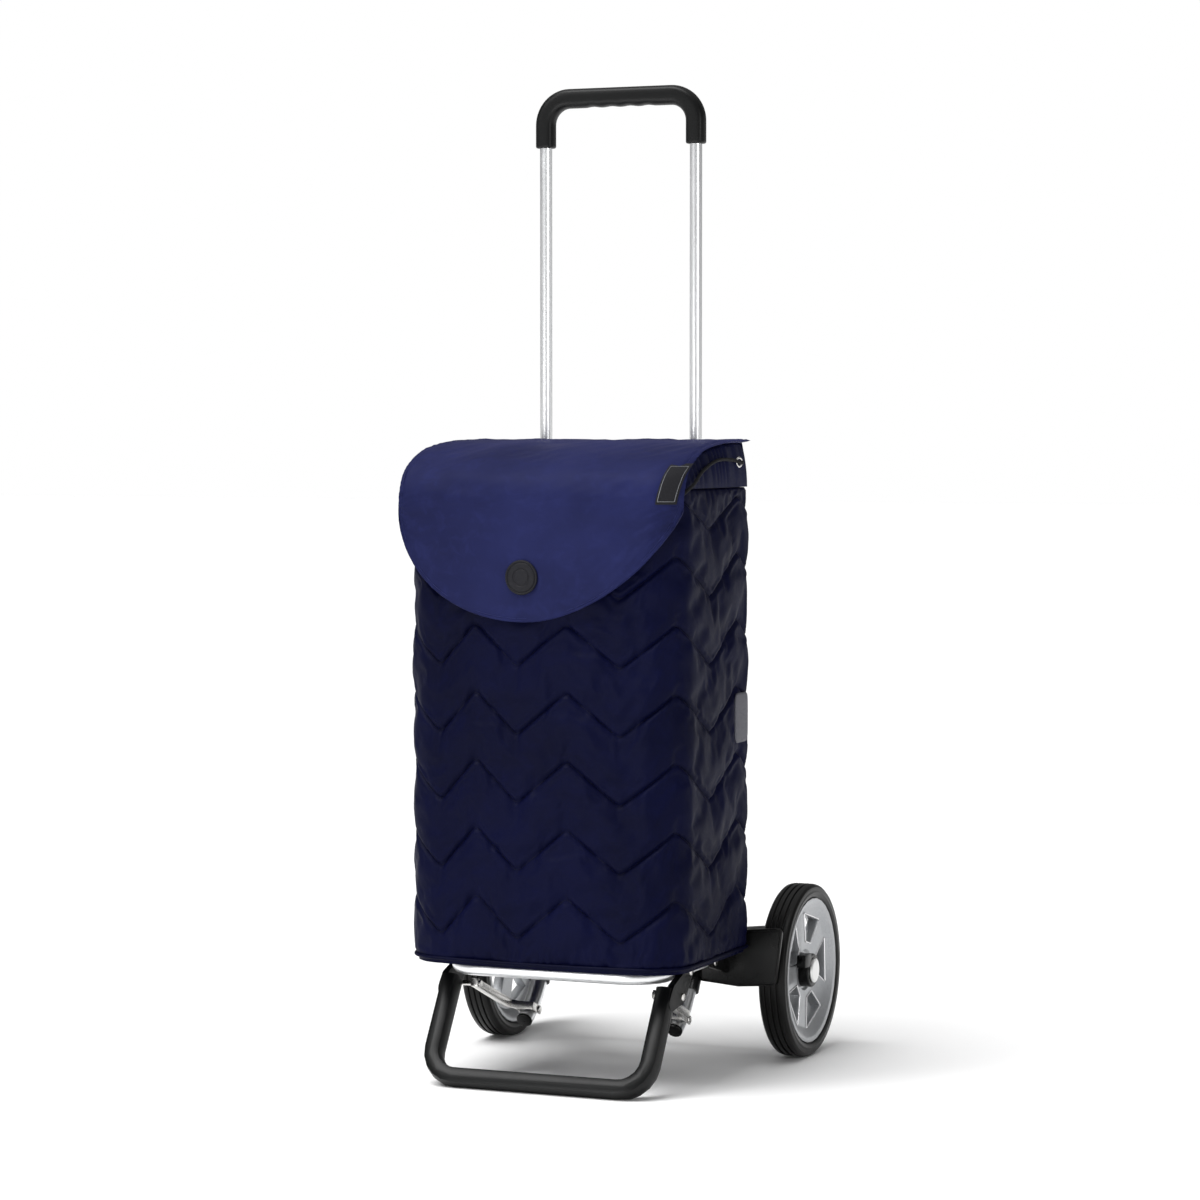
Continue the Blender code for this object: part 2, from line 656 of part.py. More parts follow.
def shelf_pins():
    y, z = SHELF_PIVOT
    for side, s in SIDES:
        start, end = SHELF_HALF - SHELF_TUBE_RADIUS + 0.0005, LUG_IN + 0.006 + GAP
        head = end + RIVET_HEAD_HEIGHT
        profile = [
            (0, s * start), (SHELF_PIN_RADIUS, s * start), (SHELF_PIN_RADIUS, s * end),
            (RIVET_HEAD, s * end),
            (RIVET_HEAD - 0.001, s * head), (0, s * head),
        ]
        solid(f"{side}_shelf_pin", turned(profile, 12, (0, y, z)), "steel")


# Shelf, foot and links

def shelf_tube():
    """The U of tube that carries the bag, with holes across it for both pivots."""
    back = SHELF_PIVOT.x + 0.010
    corner = SHELF_FRONT + SHELF_CORNER
    left = Vector((-SHELF_HALF + SHELF_CORNER, corner, SHELF_Z))
    right = Vector((SHELF_HALF - SHELF_CORNER, corner, SHELF_Z))
    path = [Vector((-SHELF_HALF, back, SHELF_Z))]
    path += bend(left, SHELF_CORNER, (-RIGHT, FRONT), pi / 2, 5)
    path += bend(right, SHELF_CORNER, (FRONT, RIGHT), pi / 2, 5)
    path.append(Vector((SHELF_HALF, back, SHELF_Z)))
    shape = tube(path, UP, SHELF_TUBE_RADIUS, SHELF_TUBE_WALL, 12)
    obj = solid("shelf_tube", shape, "aluminium", "shelf_fold")
    reach = SHELF_HALF + 0.012
    for side, s in SIDES:
        near, far = sorted((s * (SHELF_HALF - 0.012), s * reach))
        pivots = (("shelf", SHELF_PIVOT, SHELF_PIN_RADIUS), ("foot", FOOT_PIVOT, PIN_RADIUS))
        for name, (y, z), radius in pivots:
            hole = rod(radius + GAP, near, far, (0, y, z), 12)
            cut(obj, helper(f"{side}_{name}_pivot_hole", hole))


def foot_loop():
    """A moulded U that stands on the floor, with a lug on each leg for the shelf and the link."""
    along = LEG_TOP - FOOT_BAR
    lean = Vector((0, along.x, along.y)).normalized()
    normal = RIGHT.cross(lean)
    half = LUG_OUT - PLAY - FOOT_WIDTH / 2
    bar = Vector((0, *FOOT_BAR))
    top = Vector((0, *LEG_TOP))
    left = bar + lean * FOOT_CORNER + RIGHT * (FOOT_CORNER - half)
    right = bar + lean * FOOT_CORNER + RIGHT * (half - FOOT_CORNER)
    path = [top - RIGHT * half] + bend(left, FOOT_CORNER, (-RIGHT, -lean), pi / 2, 5)
    path += bend(right, FOOT_CORNER, (-lean, RIGHT), pi / 2, 5) + [top + RIGHT * half]
    outline = rounded(FOOT_DEPTH / 2, FOOT_WIDTH / 2, 12, 4)
    obj = solid("foot_loop", skin(carried(path, normal, outline)), "black_plastic", "foot_fold")
    down = along.normalized() * -0.014
    for side, s in SIDES:
        near, far = sorted((s * LUG_IN, s * LUG_OUT))
        discs = (
            (*FOOT_PIVOT, PIVOT_EYE_RADIUS), (*LINK_EYE, PIVOT_EYE_RADIUS), (*LEG_TOP, 0.0075),
            (*(LEG_TOP + down), 0.0095),
        )
        weld(obj, helper(f"{side}_foot_lug", hull_plate(discs, near, far, 16)))
        near, far = sorted((s * (LUG_IN - 0.004), s * (LUG_OUT + 0.004)))
        for name, (y, z) in (("shelf", FOOT_PIVOT), ("link", LINK_EYE)):
            cut(obj, helper(f"{side}_lug_{name}_hole", rod(PIN_RADIUS + GAP, near, far, (0, y, z), 12)))
    floor = block((-0.3, FOOT_BAR.x - 0.05, -0.03), (0.3, FOOT_BAR.x + 0.05, 0))
    cut(obj, helper("floor_cut", floor))


def rivet_profile(s, start, end):
    head = end + RIVET_HEAD_HEIGHT
    return [
        (0, s * start), (PIN_RADIUS, s * start), (PIN_RADIUS, s * end), (RIVET_HEAD, s * end),
        (RIVET_HEAD - 0.001, s * head), (0, s * head),
    ]


def foot_rivets():
    head = LUG_OUT + GAP
    for side, s in SIDES:
        long_pin = rivet_profile(s, SHELF_HALF - SHELF_TUBE_RADIUS + 0.0005, head)
        long_pin = turned(long_pin, 12, (0, *FOOT_PIVOT))
        solid(f"{side}_foot_hinge_pin", long_pin, "steel", "foot_fold")
        short_pin = turned(rivet_profile(s, LUG_IN + PLAY, head), 12, (0, *LINK_EYE))
        solid(f"{side}_foot_rivet", short_pin, "steel", "foot_fold")


def links():
    """A forked strip from the frame tube's end to the foot's lug. The fork straddles the tube."""
    start = frame_point(LINK_PIN_ANGLE)
    run = LINK_EYE - start
    length, slope = run.length, atan2(run.y, -run.x)
    tube_out, tube_in = POST_X + FRAME_TUBE_RADIUS + PLAY, POST_X - FRAME_TUBE_RADIUS - PLAY
    eye = 0.006
    outline = [
        (-eye, tube_out + LINK_PLATE), (LINK_FORK, tube_out + LINK_PLATE), (LINK_FORK + 0.009, LINK_OUT),
        (length + eye, LINK_OUT), (length + eye, LINK_IN), (LINK_FORK + 0.008, LINK_IN),
        (LINK_FORK + 0.003, tube_out - 0.004), (LINK_FORK + 0.003, tube_in - LINK_PLATE),
        (-eye, tube_in - LINK_PLATE),
        (-eye, tube_in), (LINK_FORK, tube_in), (LINK_FORK, tube_out), (-eye, tube_out),
    ]
    for side, s in SIDES:
        swing = f"{side}_link_swing"
        pivot(swing, (s * POST_X, *start), "trolley")
        turn = Matrix.Translation((0, *start)) @ Matrix.Rotation(-slope, 4, "X")
        rings = [
            [turn @ Vector((s * x, -along, z)) for along, x in outline]
            for z in (-LINK_DEPTH / 2, LINK_DEPTH / 2)
        ]
        obj = solid(f"{side}_link", skin(rings), "steel", swing)
        near, far = sorted((s * (LINK_IN - 0.004), s * (LINK_OUT + 0.004)))
        hole = helper(f"{side}_link_eye_hole", rod(PIN_RADIUS + GAP, near, far, (0, *LINK_EYE), 12))
        cut(obj, bpy.data.objects[f"{side}_link_pin_hole"], hole)
        pin = turned(
            [(0, s * (LUG_IN - PLAY)), (PIN_RADIUS, s * (LUG_IN - PLAY)), (PIN_RADIUS, s * (LINK_IN - GAP)),
             (RIVET_HEAD, s * (LINK_IN - GAP)),
             (RIVET_HEAD - 0.001, s * (LINK_IN - GAP - RIVET_HEAD_HEIGHT)),
             (0, s * (LINK_IN - GAP - RIVET_HEAD_HEIGHT))], 12, (0, *LINK_EYE),
        )
        solid(f"{side}_link_eye_pin", pin, "steel", swing)
        reach = FRAME_TUBE_RADIUS + PLAY + LINK_PLATE + GAP
        head = reach + RIVET_HEAD_HEIGHT
        rivet = [
            (0, -head), (RIVET_HEAD - 0.001, -head), (RIVET_HEAD, -reach), (PIN_RADIUS, -reach),
            (PIN_RADIUS, reach),
            (RIVET_HEAD, reach), (RIVET_HEAD - 0.001, head), (0, head),
        ]
        solid(f"{side}_link_rivet", turned(rivet, 12, (s * POST_X, *start)), "steel")


# Bag

def bag_ring(z, inset=0.0, z_front=None):
    """The bag's outline at a height, moved in by inset: flat back and sides, round corners, bowed front."""
    z_front = z if z_front is None else z_front
    half, back, front = BAG_HALF - inset, BAG_BACK - inset, BAG_FRONT + BAG_BOW + inset
    wide, small = BAG_FRONT_CORNER - inset, max(BAG_BACK_CORNER - inset, 0.003)
    flat = half - wide
    points = bend(Vector((half - small, back - small, 0)), small, (-FRONT, RIGHT), pi / 2, 3)
    points.append(Vector((half, (back + front) / 2, 0)))
    points += bend(Vector((half - wide, front + wide, 0)), wide, (RIGHT, FRONT), pi / 2, 5)
    for k in range(1, 6):
        x = flat * (1 - k / 3)
        bow = BAG_BOW * (1 - (x / flat) ** 2)
        points.append(Vector((x, front - bow, 0)))
    points += bend(Vector((wide - half, front + wide, 0)), wide, (FRONT, -RIGHT), pi / 2, 5)
    points.append(Vector((-half, (back + front) / 2, 0)))
    points += bend(Vector((small - half, back - small, 0)), small, (-RIGHT, -FRONT), pi / 2, 3)
    depth = back - front
    for point in points:
        point.z = z + (z_front - z) * ((back - point.y) / depth) ** 2
    return points


def bag_body():
    """The quilted bag as a plain open-topped shell."""
    outer = [bag_ring(BAG_BOTTOM, 0.004), bag_ring(BAG_BOTTOM + 0.004), bag_ring(SEAM_Z)]
    inner = [bag_ring(SEAM_Z, BAG_WALL), bag_ring(BAG_BOTTOM + BAG_WALL, BAG_WALL)]
    solid("bag_body", skin(outer + inner), "navy_fabric")


def hem_piping():
    """A round piping on the bag's lower edge."""
    z = BAG_BOTTOM + 0.004 + PIPING_RADIUS
    rings = []
    for a, b in circle(PIPING_RADIUS, 8):
        rings.append(bag_ring(z + b, -(GAP + PIPING_RADIUS + a)))
    solid("hem_piping", skin(rings, wrap=True), "navy_fabric")


def base_board():
    """A stiff floor that lies loose in the bag and tips up as the shelf folds."""
    inset = BAG_WALL + BOARD_MARGIN
    low = BAG_BOTTOM + BAG_WALL + GAP
    pivot("board_fold", (0, BAG_BACK - inset, low + BOARD_THICKNESS / 2), "trolley")
    rings = [bag_ring(low, inset), bag_ring(low + BOARD_THICKNESS, inset)]
    solid("base_board", skin(rings), "board", "board_fold")


def collar_ring(share, inset=0.0):
    """The collar's outline at a share of its height. The drawstring draws all but its back in."""
    back = SEAM_Z + GAP + (COLLAR_BACK_HEIGHT - GAP) * share
    front = SEAM_Z + GAP + (COLLAR_FRONT_HEIGHT - GAP) * share
    ring = bag_ring(back, 0.001 + inset + COLLAR_GATHER * share ** 2, front)
    near, far = min(point.y for point in ring), max(point.y for point in ring)
    stretch = (BAG_BACK - 0.001 - inset - near) / (far - near)
    for point in ring:
        point.y = near + (point.y - near) * stretch
    return ring


def bag_collar():
    outer = [collar_ring(share) for share in (0, 0.4, 0.75, 1)]
    inner = [collar_ring(share, COLLAR_WALL) for share in (1, 0.75, 0.4, 0)]
    obj = solid("bag_collar", skin(outer + inner, wrap=True), "navy_fabric")
    for side, s in SIDES:
        near, far = sorted((s * (BAG_HALF - 0.03), s * (BAG_HALF + 0.01)))
        hole = rod(EYELET_BORE, near, far, eyelet_place(0), 12)
        cut(obj, helper(f"{side}_eyelet_hole", hole))


def eyelet_place(x):
    return Vector((x, BAG_BACK - EYELET_AHEAD, SEAM_Z + EYELET_RISE))


def eyelet_face():
    """How far out the collar's side stands at the eyelets."""
    share = EYELET_RISE / COLLAR_BACK_HEIGHT
    return BAG_HALF - 0.001 - COLLAR_GATHER * share ** 2


def eyelets():
    face = eyelet_face() + 0.0014
    for side, s in SIDES:
        near, far = s * face, s * (face + 0.0013)
        ring = washer(EYELET_BORE, EYELET_RADIUS, near, far, eyelet_place(0), 20)
        solid(f"{side}_eyelet", ring, "steel")


def drawstring():
    """A cord from one eyelet round the front of the collar to the other, through the cord lock."""
    start, face = eyelet_place(0), eyelet_face()
    lock_y, lock_z = cord_lock_place()
    corner = BAG_FRONT + BAG_FRONT_CORNER
    half_route = [
        (0, lock_y, lock_z), (0.020, lock_y, lock_z), (0.060, lock_y + 0.0015, lock_z + 0.001),
        (BAG_HALF - 0.052, lock_y + 0.006, lock_z + 0.003),
        (BAG_HALF - 0.016, BAG_FRONT + 0.016, lock_z + 0.006),
        (BAG_HALF + 0.0018, corner - 0.004, SEAM_Z + 0.002),
        (BAG_HALF - 0.0002, corner + 0.036, SEAM_Z + 0.019),
        (BAG_HALF - 0.0010, corner + 0.080, SEAM_Z + 0.030),
        (BAG_HALF - 0.0002, start.y - 0.032, start.z + 0.003),
        (BAG_HALF + 0.0035, start.y - 0.009, start.z - 0.0006),
        (BAG_HALF + 0.0022, start.y - 0.0022, start.z), (face + 0.0022, start.y, start.z),
        (face, start.y, start.z), (face - 0.008, start.y, start.z),
    ]
    route = [Vector((-x, y, z)) for x, y, z in half_route[:0:-1]] + [Vector(point) for point in half_route]
    points = smooth(route, 2)
    curve = bpy.data.curves.new("drawstring", "CURVE")
    curve.dimensions = "3D"
    curve.bevel_depth = CORD_RADIUS
    curve.bevel_resolution = 2
    curve.use_fill_caps = True
    spline = curve.splines.new("POLY")
    spline.points.add(len(points) - 1)
    for target, point in zip(spline.points, points):
        target.co = (*point, 1)
    obj = bpy.data.objects.new("drawstring", curve)
    bpy.context.scene.collection.objects.link(obj)
    obj.parent = bpy.data.objects["trolley"]
    curve.materials.append(MATERIALS["black_trim"])


def smooth(points, steps):
    """Points on a Catmull-Rom curve through the given ones."""
    ends = [points[0]] + points + [points[-1]]
    found = []
    for k in range(len(points) - 1):
        a, b, c, d = ends[k:k + 4]
        for n in range(steps):
            t = n / steps
            found.append(
                0.5 * (2 * b + (c - a) * t + (2 * a - 5 * b + 4 * c - d) * t ** 2
                       + (3 * b - a - 3 * c + d) * t ** 3)
            )
    return found + [points[-1]]


def cord_lock_place():
    return BAG_FRONT - 0.0035, SEAM_Z - 0.022


def cord_lock():
    """A barrel that grips the drawstring, with its sprung plunger on top."""
    y, z = cord_lock_place()
    body = block((-0.008, y - 0.0031, z - 0.007), (0.008, y + 0.0031, z + 0.007))
    bmesh.ops.bevel(body, geom=body.edges[:], offset=0.0006, segments=1, affect="EDGES")
    obj = solid("cord_lock", body, "black_plastic")
    pocket = block((-0.0050, y - 0.0020, z + 0.0033), (0.0050, y + 0.0020, z + 0.0100))
    cut(obj, helper("plunger_pocket", pocket))
    cut(obj, helper("cord_hole", rod(CORD_RADIUS + GAP, -0.02, 0.02, (0, y, z), 12)))
    pivot("cord_lock_press", (0, y, z + 0.0105), "trolley")
    low = z + 0.0033 + GAP + PLUNGER_TRAVEL
    plunger = block((-0.0047, y - 0.0017, low), (0.0047, y + 0.0017, z + 0.0105))
    bmesh.ops.bevel(plunger, geom=plunger.edges[:], offset=0.0004, segments=1, affect="EDGES")
    solid("cord_lock_plunger", plunger, "black_plastic", "cord_lock_press")


def reflectors():
    low = BAG_BOTTOM + REFLECTOR_RISE
    back = BAG_BACK - BAG_BACK_CORNER - 0.001
    front = back - REFLECTOR_WIDTH
    corner = 0.010
    outline = [(back, low), (front + corner, low), (front + 0.3 * corner, low + 0.3 * corner)]
    outline += [(front, low + corner)]
    high = low + REFLECTOR_HEIGHT
    outline += [(front, high - corner), (front + 0.3 * corner, high - 0.3 * corner)]
    outline += [(front + corner, high), (back, high)]
    for side, s in SIDES:
        near, far = sorted((s * (BAG_HALF + GAP), s * (BAG_HALF + GAP + 0.0012)))
        solid(f"{side}_reflector", plate(outline, near, far), "reflective")


def hanger_loops():
    """A webbing loop on each frame tube, sewn to the bag's back."""
    low = SEAM_Z - 0.030
    for side, s in SIDES:
        radius = FRAME_TUBE_RADIUS + GAP
        outer = []
        for x, y in circle(radius + LOOP_WALL, 16):
            outer.append((x, GAP - BAG_BACK_AHEAD if y < -0.5 * radius else y))
        rings = []
        for outline, z in ((outer, low), (outer, low + LOOP_HEIGHT), (circle(radius, 16), low + LOOP_HEIGHT),
                           (circle(radius, 16), low)):
            rings.append([Vector((s * POST_X + x, POST_Y + y, z)) for x, y in outline])
        solid(f"{side}_hanger_loop", skin(rings, wrap=True), "black_trim")


# Lid

def lid_profile():
    """The lid's outer surface from its back edge, over the top, and down its front, in Y and Z."""
    back, top = PIVOTS["lid_open"].y + 0.0012, LID_BACK_Z + LID_THICKNESS
    front, seam = LID_FRONT, SEAM_Z
    route = [
        Vector((back, top, 0)), Vector((back - 0.090, top - 0.002, 0)),
        Vector((back - 0.160, top - 0.009, 0)),
        Vector((front + 0.040, seam + 0.033, 0)), Vector((front + 0.013, seam + 0.017, 0)),
        Vector((front + 0.002, seam - 0.004, 0)), Vector((front, seam - 0.018, 0)),
    ]
    points = smooth(route, 2)
    return [Vector((point.x, point.y)) for point in points]


def drop_skew(angle):
    """How far right of an even half ellipse the lower edge lies: its tip and right side hang askew."""
    return LID_TIP_X * cos(angle) ** 2 - LID_RIGHT_CUT * max(sin(2 * angle), 0)


def drop_edge(angle):
    """X and Z on the hanging front's lower edge, a skewed half ellipse, at -90 to 90 degrees."""
    start = SEAM_Z - LID_DROP_START
    return Vector((LID_HALF * sin(angle) + drop_skew(angle), start - LID_DROP * cos(angle)))


def lid_bow(x):
    """How far back the lid's front lies at X, beyond its middle. Its right corner is pulled back further."""
    pulled = max(x / LID_HALF - 0.8, 0) / 0.2
    return LID_BOW * (x / LID_HALF) ** 2 + LID_RIGHT_PULL * pulled ** 2


def lid_columns(offset):
    """Columns of points across the lid, each from the back edge to the hanging front's edge."""
    profile = lid_profile()
    columns = []
    for k in range(13):
        angle = pi / 2 * (-1 + 2 * k / 12)
        edge = drop_edge(angle)
        bow = lid_bow(edge.x)
        column = []
        for n, point in enumerate(profile):
            before, after = profile[max(n - 1, 0)], profile[min(n + 1, len(profile) - 1)]
            tangent = (after - before).normalized()
            inward = Vector((tangent.y * -1, tangent.x)) * -offset
            forward = min(max((BAG_BACK - point.x) / BAG_DEPTH, 0), 1)
            x = edge.x - drop_skew(angle) * (1 - forward)
            column.append(Vector((x, point.x + bow * forward - inward.x, point.y - inward.y)))
        last = column[-1]
        for step in (0.34, 0.67, 1.0):
            column.append(Vector((edge.x, last.y, last.z + (edge.y - last.z) * step)))
        columns.append(column)
    return columns


def lid_flap():
    """The lid's top and hanging front in one sheet."""
    outer, inner = lid_columns(0), lid_columns(LID_THICKNESS)
    rings = []
    for n in range(len(outer[0])):
        rings.append([column[n] for column in outer] + [column[n] for column in inner[::-1]])
    solid("lid_flap", skin(rings), "lid_fabric", "lid_open")


def patch_place():
    return LID_TIP_X, LID_TIP_Z + PATCH_RISE


def closure_patch():
    """A round leather patch on the lid's front, and the magnets behind it."""
    x, z = patch_place()
    place = (x, 0, z)
    face = LID_FRONT - GAP
    outer = [
        (0, face), (PATCH_RADIUS, face), (PATCH_RADIUS, face - PATCH_THICKNESS * 0.7),
        (PATCH_RADIUS - 0.001, face - PATCH_THICKNESS), (PATCH_RADIUS - 0.003, face - PATCH_THICKNESS),
        (PATCH_RADIUS - 0.004, face - PATCH_THICKNESS * 0.75), (0, face - PATCH_THICKNESS * 0.75),
    ]
    solid("closure_patch", turned(outer, 24, place, "Y"), "black_trim", "lid_open")
    inside = LID_FRONT + LID_THICKNESS + 2 * GAP
    solid("lid_magnet", rod(0.009, inside, inside + 0.003, place, 12, "Y"), "black_trim", "lid_open")
    bag_side = rod(0.009, inside + 0.003 + GAP, BAG_FRONT - 2 * GAP, place, 12, "Y")
    solid("bag_magnet", bag_side, "black_trim")


def lid_face(x, z):
    """How far forward the lid's outer surface is at X and Z on its front."""
    profile = lid_profile()
    y = LID_FRONT
    for above, below in zip(profile, profile[1:]):
        if below.y <= z <= above.y:
            y = below.x + (above.x - below.x) * (z - below.y) / (above.y - below.y)
    return y + lid_bow(x)


def label_tab():
    """A woven tab sewn on the lid near its right edge."""
    rings = []
    for k in range(9):
        z = SEAM_Z - 0.022 + LABEL_LENGTH * k / 8
        right = LID_HALF - 0.004 + 0.002 * k / 8
        left = right - LABEL_WIDTH
        off = GAP + 0.0008
        across = [left + LABEL_WIDTH * n / 3 for n in range(4)]
        corners = [(x, off) for x in across] + [(x, off + 0.001) for x in across[::-1]]
        rings.append([Vector((x, lid_face(x, z) - out, z)) for x, out in corners])
    solid("label_tab", skin(rings), "black_trim", "lid_open")


def main():
    clear_scene()
    make_materials()
    pivot("trolley", (0, AXLE_Y, 0))
    PIVOTS["trolley"] = Vector((0, 0, 0))
    pivot("handle_slide", (0, POST_Y, HANDLE_HEIGHT), "trolley")
    pivot("shelf_fold", (0, *SHELF_PIVOT), "trolley")
    pivot("foot_fold", (0, *FOOT_PIVOT), "shelf_fold")
    pivot("lid_open", (0, BAG_BACK - 0.002, LID_BACK_Z + LID_THICKNESS / 2), "trolley")
    link_pin_holes()
    frame_tubes()
    tube_end_plugs()
    upper_bridge()
    guide_bushes()
    handle_tube()
    handle_grip()
    handle_glides()
    axle()
    wheels()
    axle_housings()
    shelf_pins()
    shelf_tube()
    foot_loop()
    foot_rivets()
    links()
    bag_body()
    hem_piping()
    base_board()
    bag_collar()
    eyelets()
    drawstring()
    cord_lock()
    reflectors()
    hanger_loops()
    lid_flap()
    closure_patch()
    label_tab()


main()
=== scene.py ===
"""Finished pieces and materials for a two-wheeled shopping trolley, built round its packed CAD frame."""

import json
from math import cos, pi, radians, sin, tan

import bmesh
import bpy
import numpy as np
from bpy.props import FloatProperty, FloatVectorProperty, IntProperty, PointerProperty
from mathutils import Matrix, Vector


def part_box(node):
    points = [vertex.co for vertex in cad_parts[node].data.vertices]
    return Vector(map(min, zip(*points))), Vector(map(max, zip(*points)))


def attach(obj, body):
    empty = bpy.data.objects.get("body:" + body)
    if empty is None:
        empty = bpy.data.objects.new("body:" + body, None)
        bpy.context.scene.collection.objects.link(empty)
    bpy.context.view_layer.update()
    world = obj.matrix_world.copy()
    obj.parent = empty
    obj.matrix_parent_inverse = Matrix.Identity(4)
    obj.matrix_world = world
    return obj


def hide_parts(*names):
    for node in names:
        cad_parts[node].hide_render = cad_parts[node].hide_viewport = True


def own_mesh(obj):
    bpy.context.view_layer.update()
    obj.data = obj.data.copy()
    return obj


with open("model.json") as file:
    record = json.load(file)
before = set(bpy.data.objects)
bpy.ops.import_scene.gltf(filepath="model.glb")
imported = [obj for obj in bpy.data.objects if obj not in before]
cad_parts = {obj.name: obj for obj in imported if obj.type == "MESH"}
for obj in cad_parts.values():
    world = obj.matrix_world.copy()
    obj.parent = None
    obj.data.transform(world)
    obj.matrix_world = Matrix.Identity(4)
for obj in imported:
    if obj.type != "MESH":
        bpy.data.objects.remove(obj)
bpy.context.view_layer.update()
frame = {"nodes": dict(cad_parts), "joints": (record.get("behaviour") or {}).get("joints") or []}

bl_info = {
    "name": "Shopping Trolley",
    "version": (1, 0, 0),
    "blender": (4, 5, 0),
    "location": "3D View > Sidebar > Trolley",
    "description": "Builds the finished pieces of a shopping trolley round its frame",
    "category": "Object",
}

X, Y, Z = np.eye(3)
SIDES = (("left", -1), ("right", 1))


def low(node):
    """The lowest corner of a node's box."""
    return np.array(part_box(node)[0])


def high(node):
    """The highest corner of a node's box."""
    return np.array(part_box(node)[1])


def middle(node):
    """The middle of a node's box."""
    box_low, box_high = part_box(node)
    return np.array((box_low + box_high) / 2)


POST_X, POST_Y = middle("right_guide_bush")[:2]
AXLE_Y, AXLE_Z = middle("cross_axle")[1:]
BAG_LOW, BAG_HIGH = low("bag_body"), high("bag_body")
SEAM_Z = BAG_HIGH[2]
LID_HINGE = next(np.array(j["pos_m"]) for j in frame["joints"] if j["name"] == "lid_open")


# Settings that a user may change

class TrolleyShape(bpy.types.PropertyGroup):
    """Sizes of the soft goods."""

    quilt_puff: FloatProperty(
        name="Quilt puff", description="How far the padding stands out between the stitch lines",
        default=0.0042, min=0.0, max=0.01, unit="LENGTH",
    )
    zigzag_height: FloatProperty(
        name="Zigzag height", description="From the valleys of a stitch line up to its peaks",
        default=0.048, min=0.0, max=0.06, unit="LENGTH",
    )
    row_spacing: FloatProperty(
        name="Row spacing", description="Between one stitch line and the next",
        default=0.0748, min=0.05, max=0.1, unit="LENGTH",
    )
    thread: FloatProperty(
        name="Thread", description="Thickness of the sewing thread", default=0.0006, min=0.0003, max=0.001,
        unit="LENGTH",
    )
    cloth_frames: IntProperty(
        name="Cloth frames", description="How long the quilted cloth settles", default=20, min=1, max=40,
    )


class TrolleyColours(bpy.types.PropertyGroup):
    """Colours of the finishes."""

    quilt: FloatVectorProperty(
        name="Quilt", description="Quilted cloth", default=(0.0012, 0.0018, 0.0150),
        min=0, max=1, subtype="COLOR",
    )
    lid: FloatVectorProperty(
        name="Lid", description="Plain cloth of the lid", default=(0.0105, 0.0130, 0.0560), min=0, max=1,
        subtype="COLOR",
    )
    aluminium: FloatVectorProperty(
        name="Aluminium", description="Anodised tubes", default=(0.86, 0.87, 0.88),
        min=0, max=1, subtype="COLOR",
    )
    plastic: FloatVectorProperty(
        name="Plastic", description="Black moulded parts", default=(0.0022, 0.0024, 0.0025), min=0, max=1,
        subtype="COLOR",
    )
    rubber: FloatVectorProperty(
        name="Rubber", description="Tyres", default=(0.0018, 0.0018, 0.0017), min=0, max=1, subtype="COLOR",
    )
    rim: FloatVectorProperty(
        name="Rim", description="Silver wheel centres", default=(0.36, 0.37, 0.385),
        min=0, max=1, subtype="COLOR",
    )


def shape():
    return bpy.context.scene.trolley_shape


def colours():
    return bpy.context.scene.trolley_colours


# Shader maths

class Value:
    """A socket that Python's operators work on. Each operator adds one Math node."""

    def __init__(self, finish, socket):
        self.finish, self.socket = finish, socket

    def maths(self, operation, *inputs):
        return self.finish.node("ShaderNodeMath", {"operation": operation}, inputs)

    def __add__(self, other):
        return self.maths("ADD", self, other)

    def __sub__(self, other):
        return self.maths("SUBTRACT", self, other)

    def __rsub__(self, other):
        return self.maths("SUBTRACT", other, self)

    def __mul__(self, other):
        return self.maths("MULTIPLY", self, other)

    def __pow__(self, other):
        return self.maths("POWER", self, other)

    __radd__, __rmul__ = __add__, __mul__

    def ease(self, start, end):
        """0 up to start and 1 from end, with a smooth rise between them."""
        settings = {"interpolation_type": "SMOOTHSTEP"}
        inputs = {"Value": self, "From Min": start, "From Max": end}
        return self.finish.node("ShaderNodeMapRange", settings, inputs)


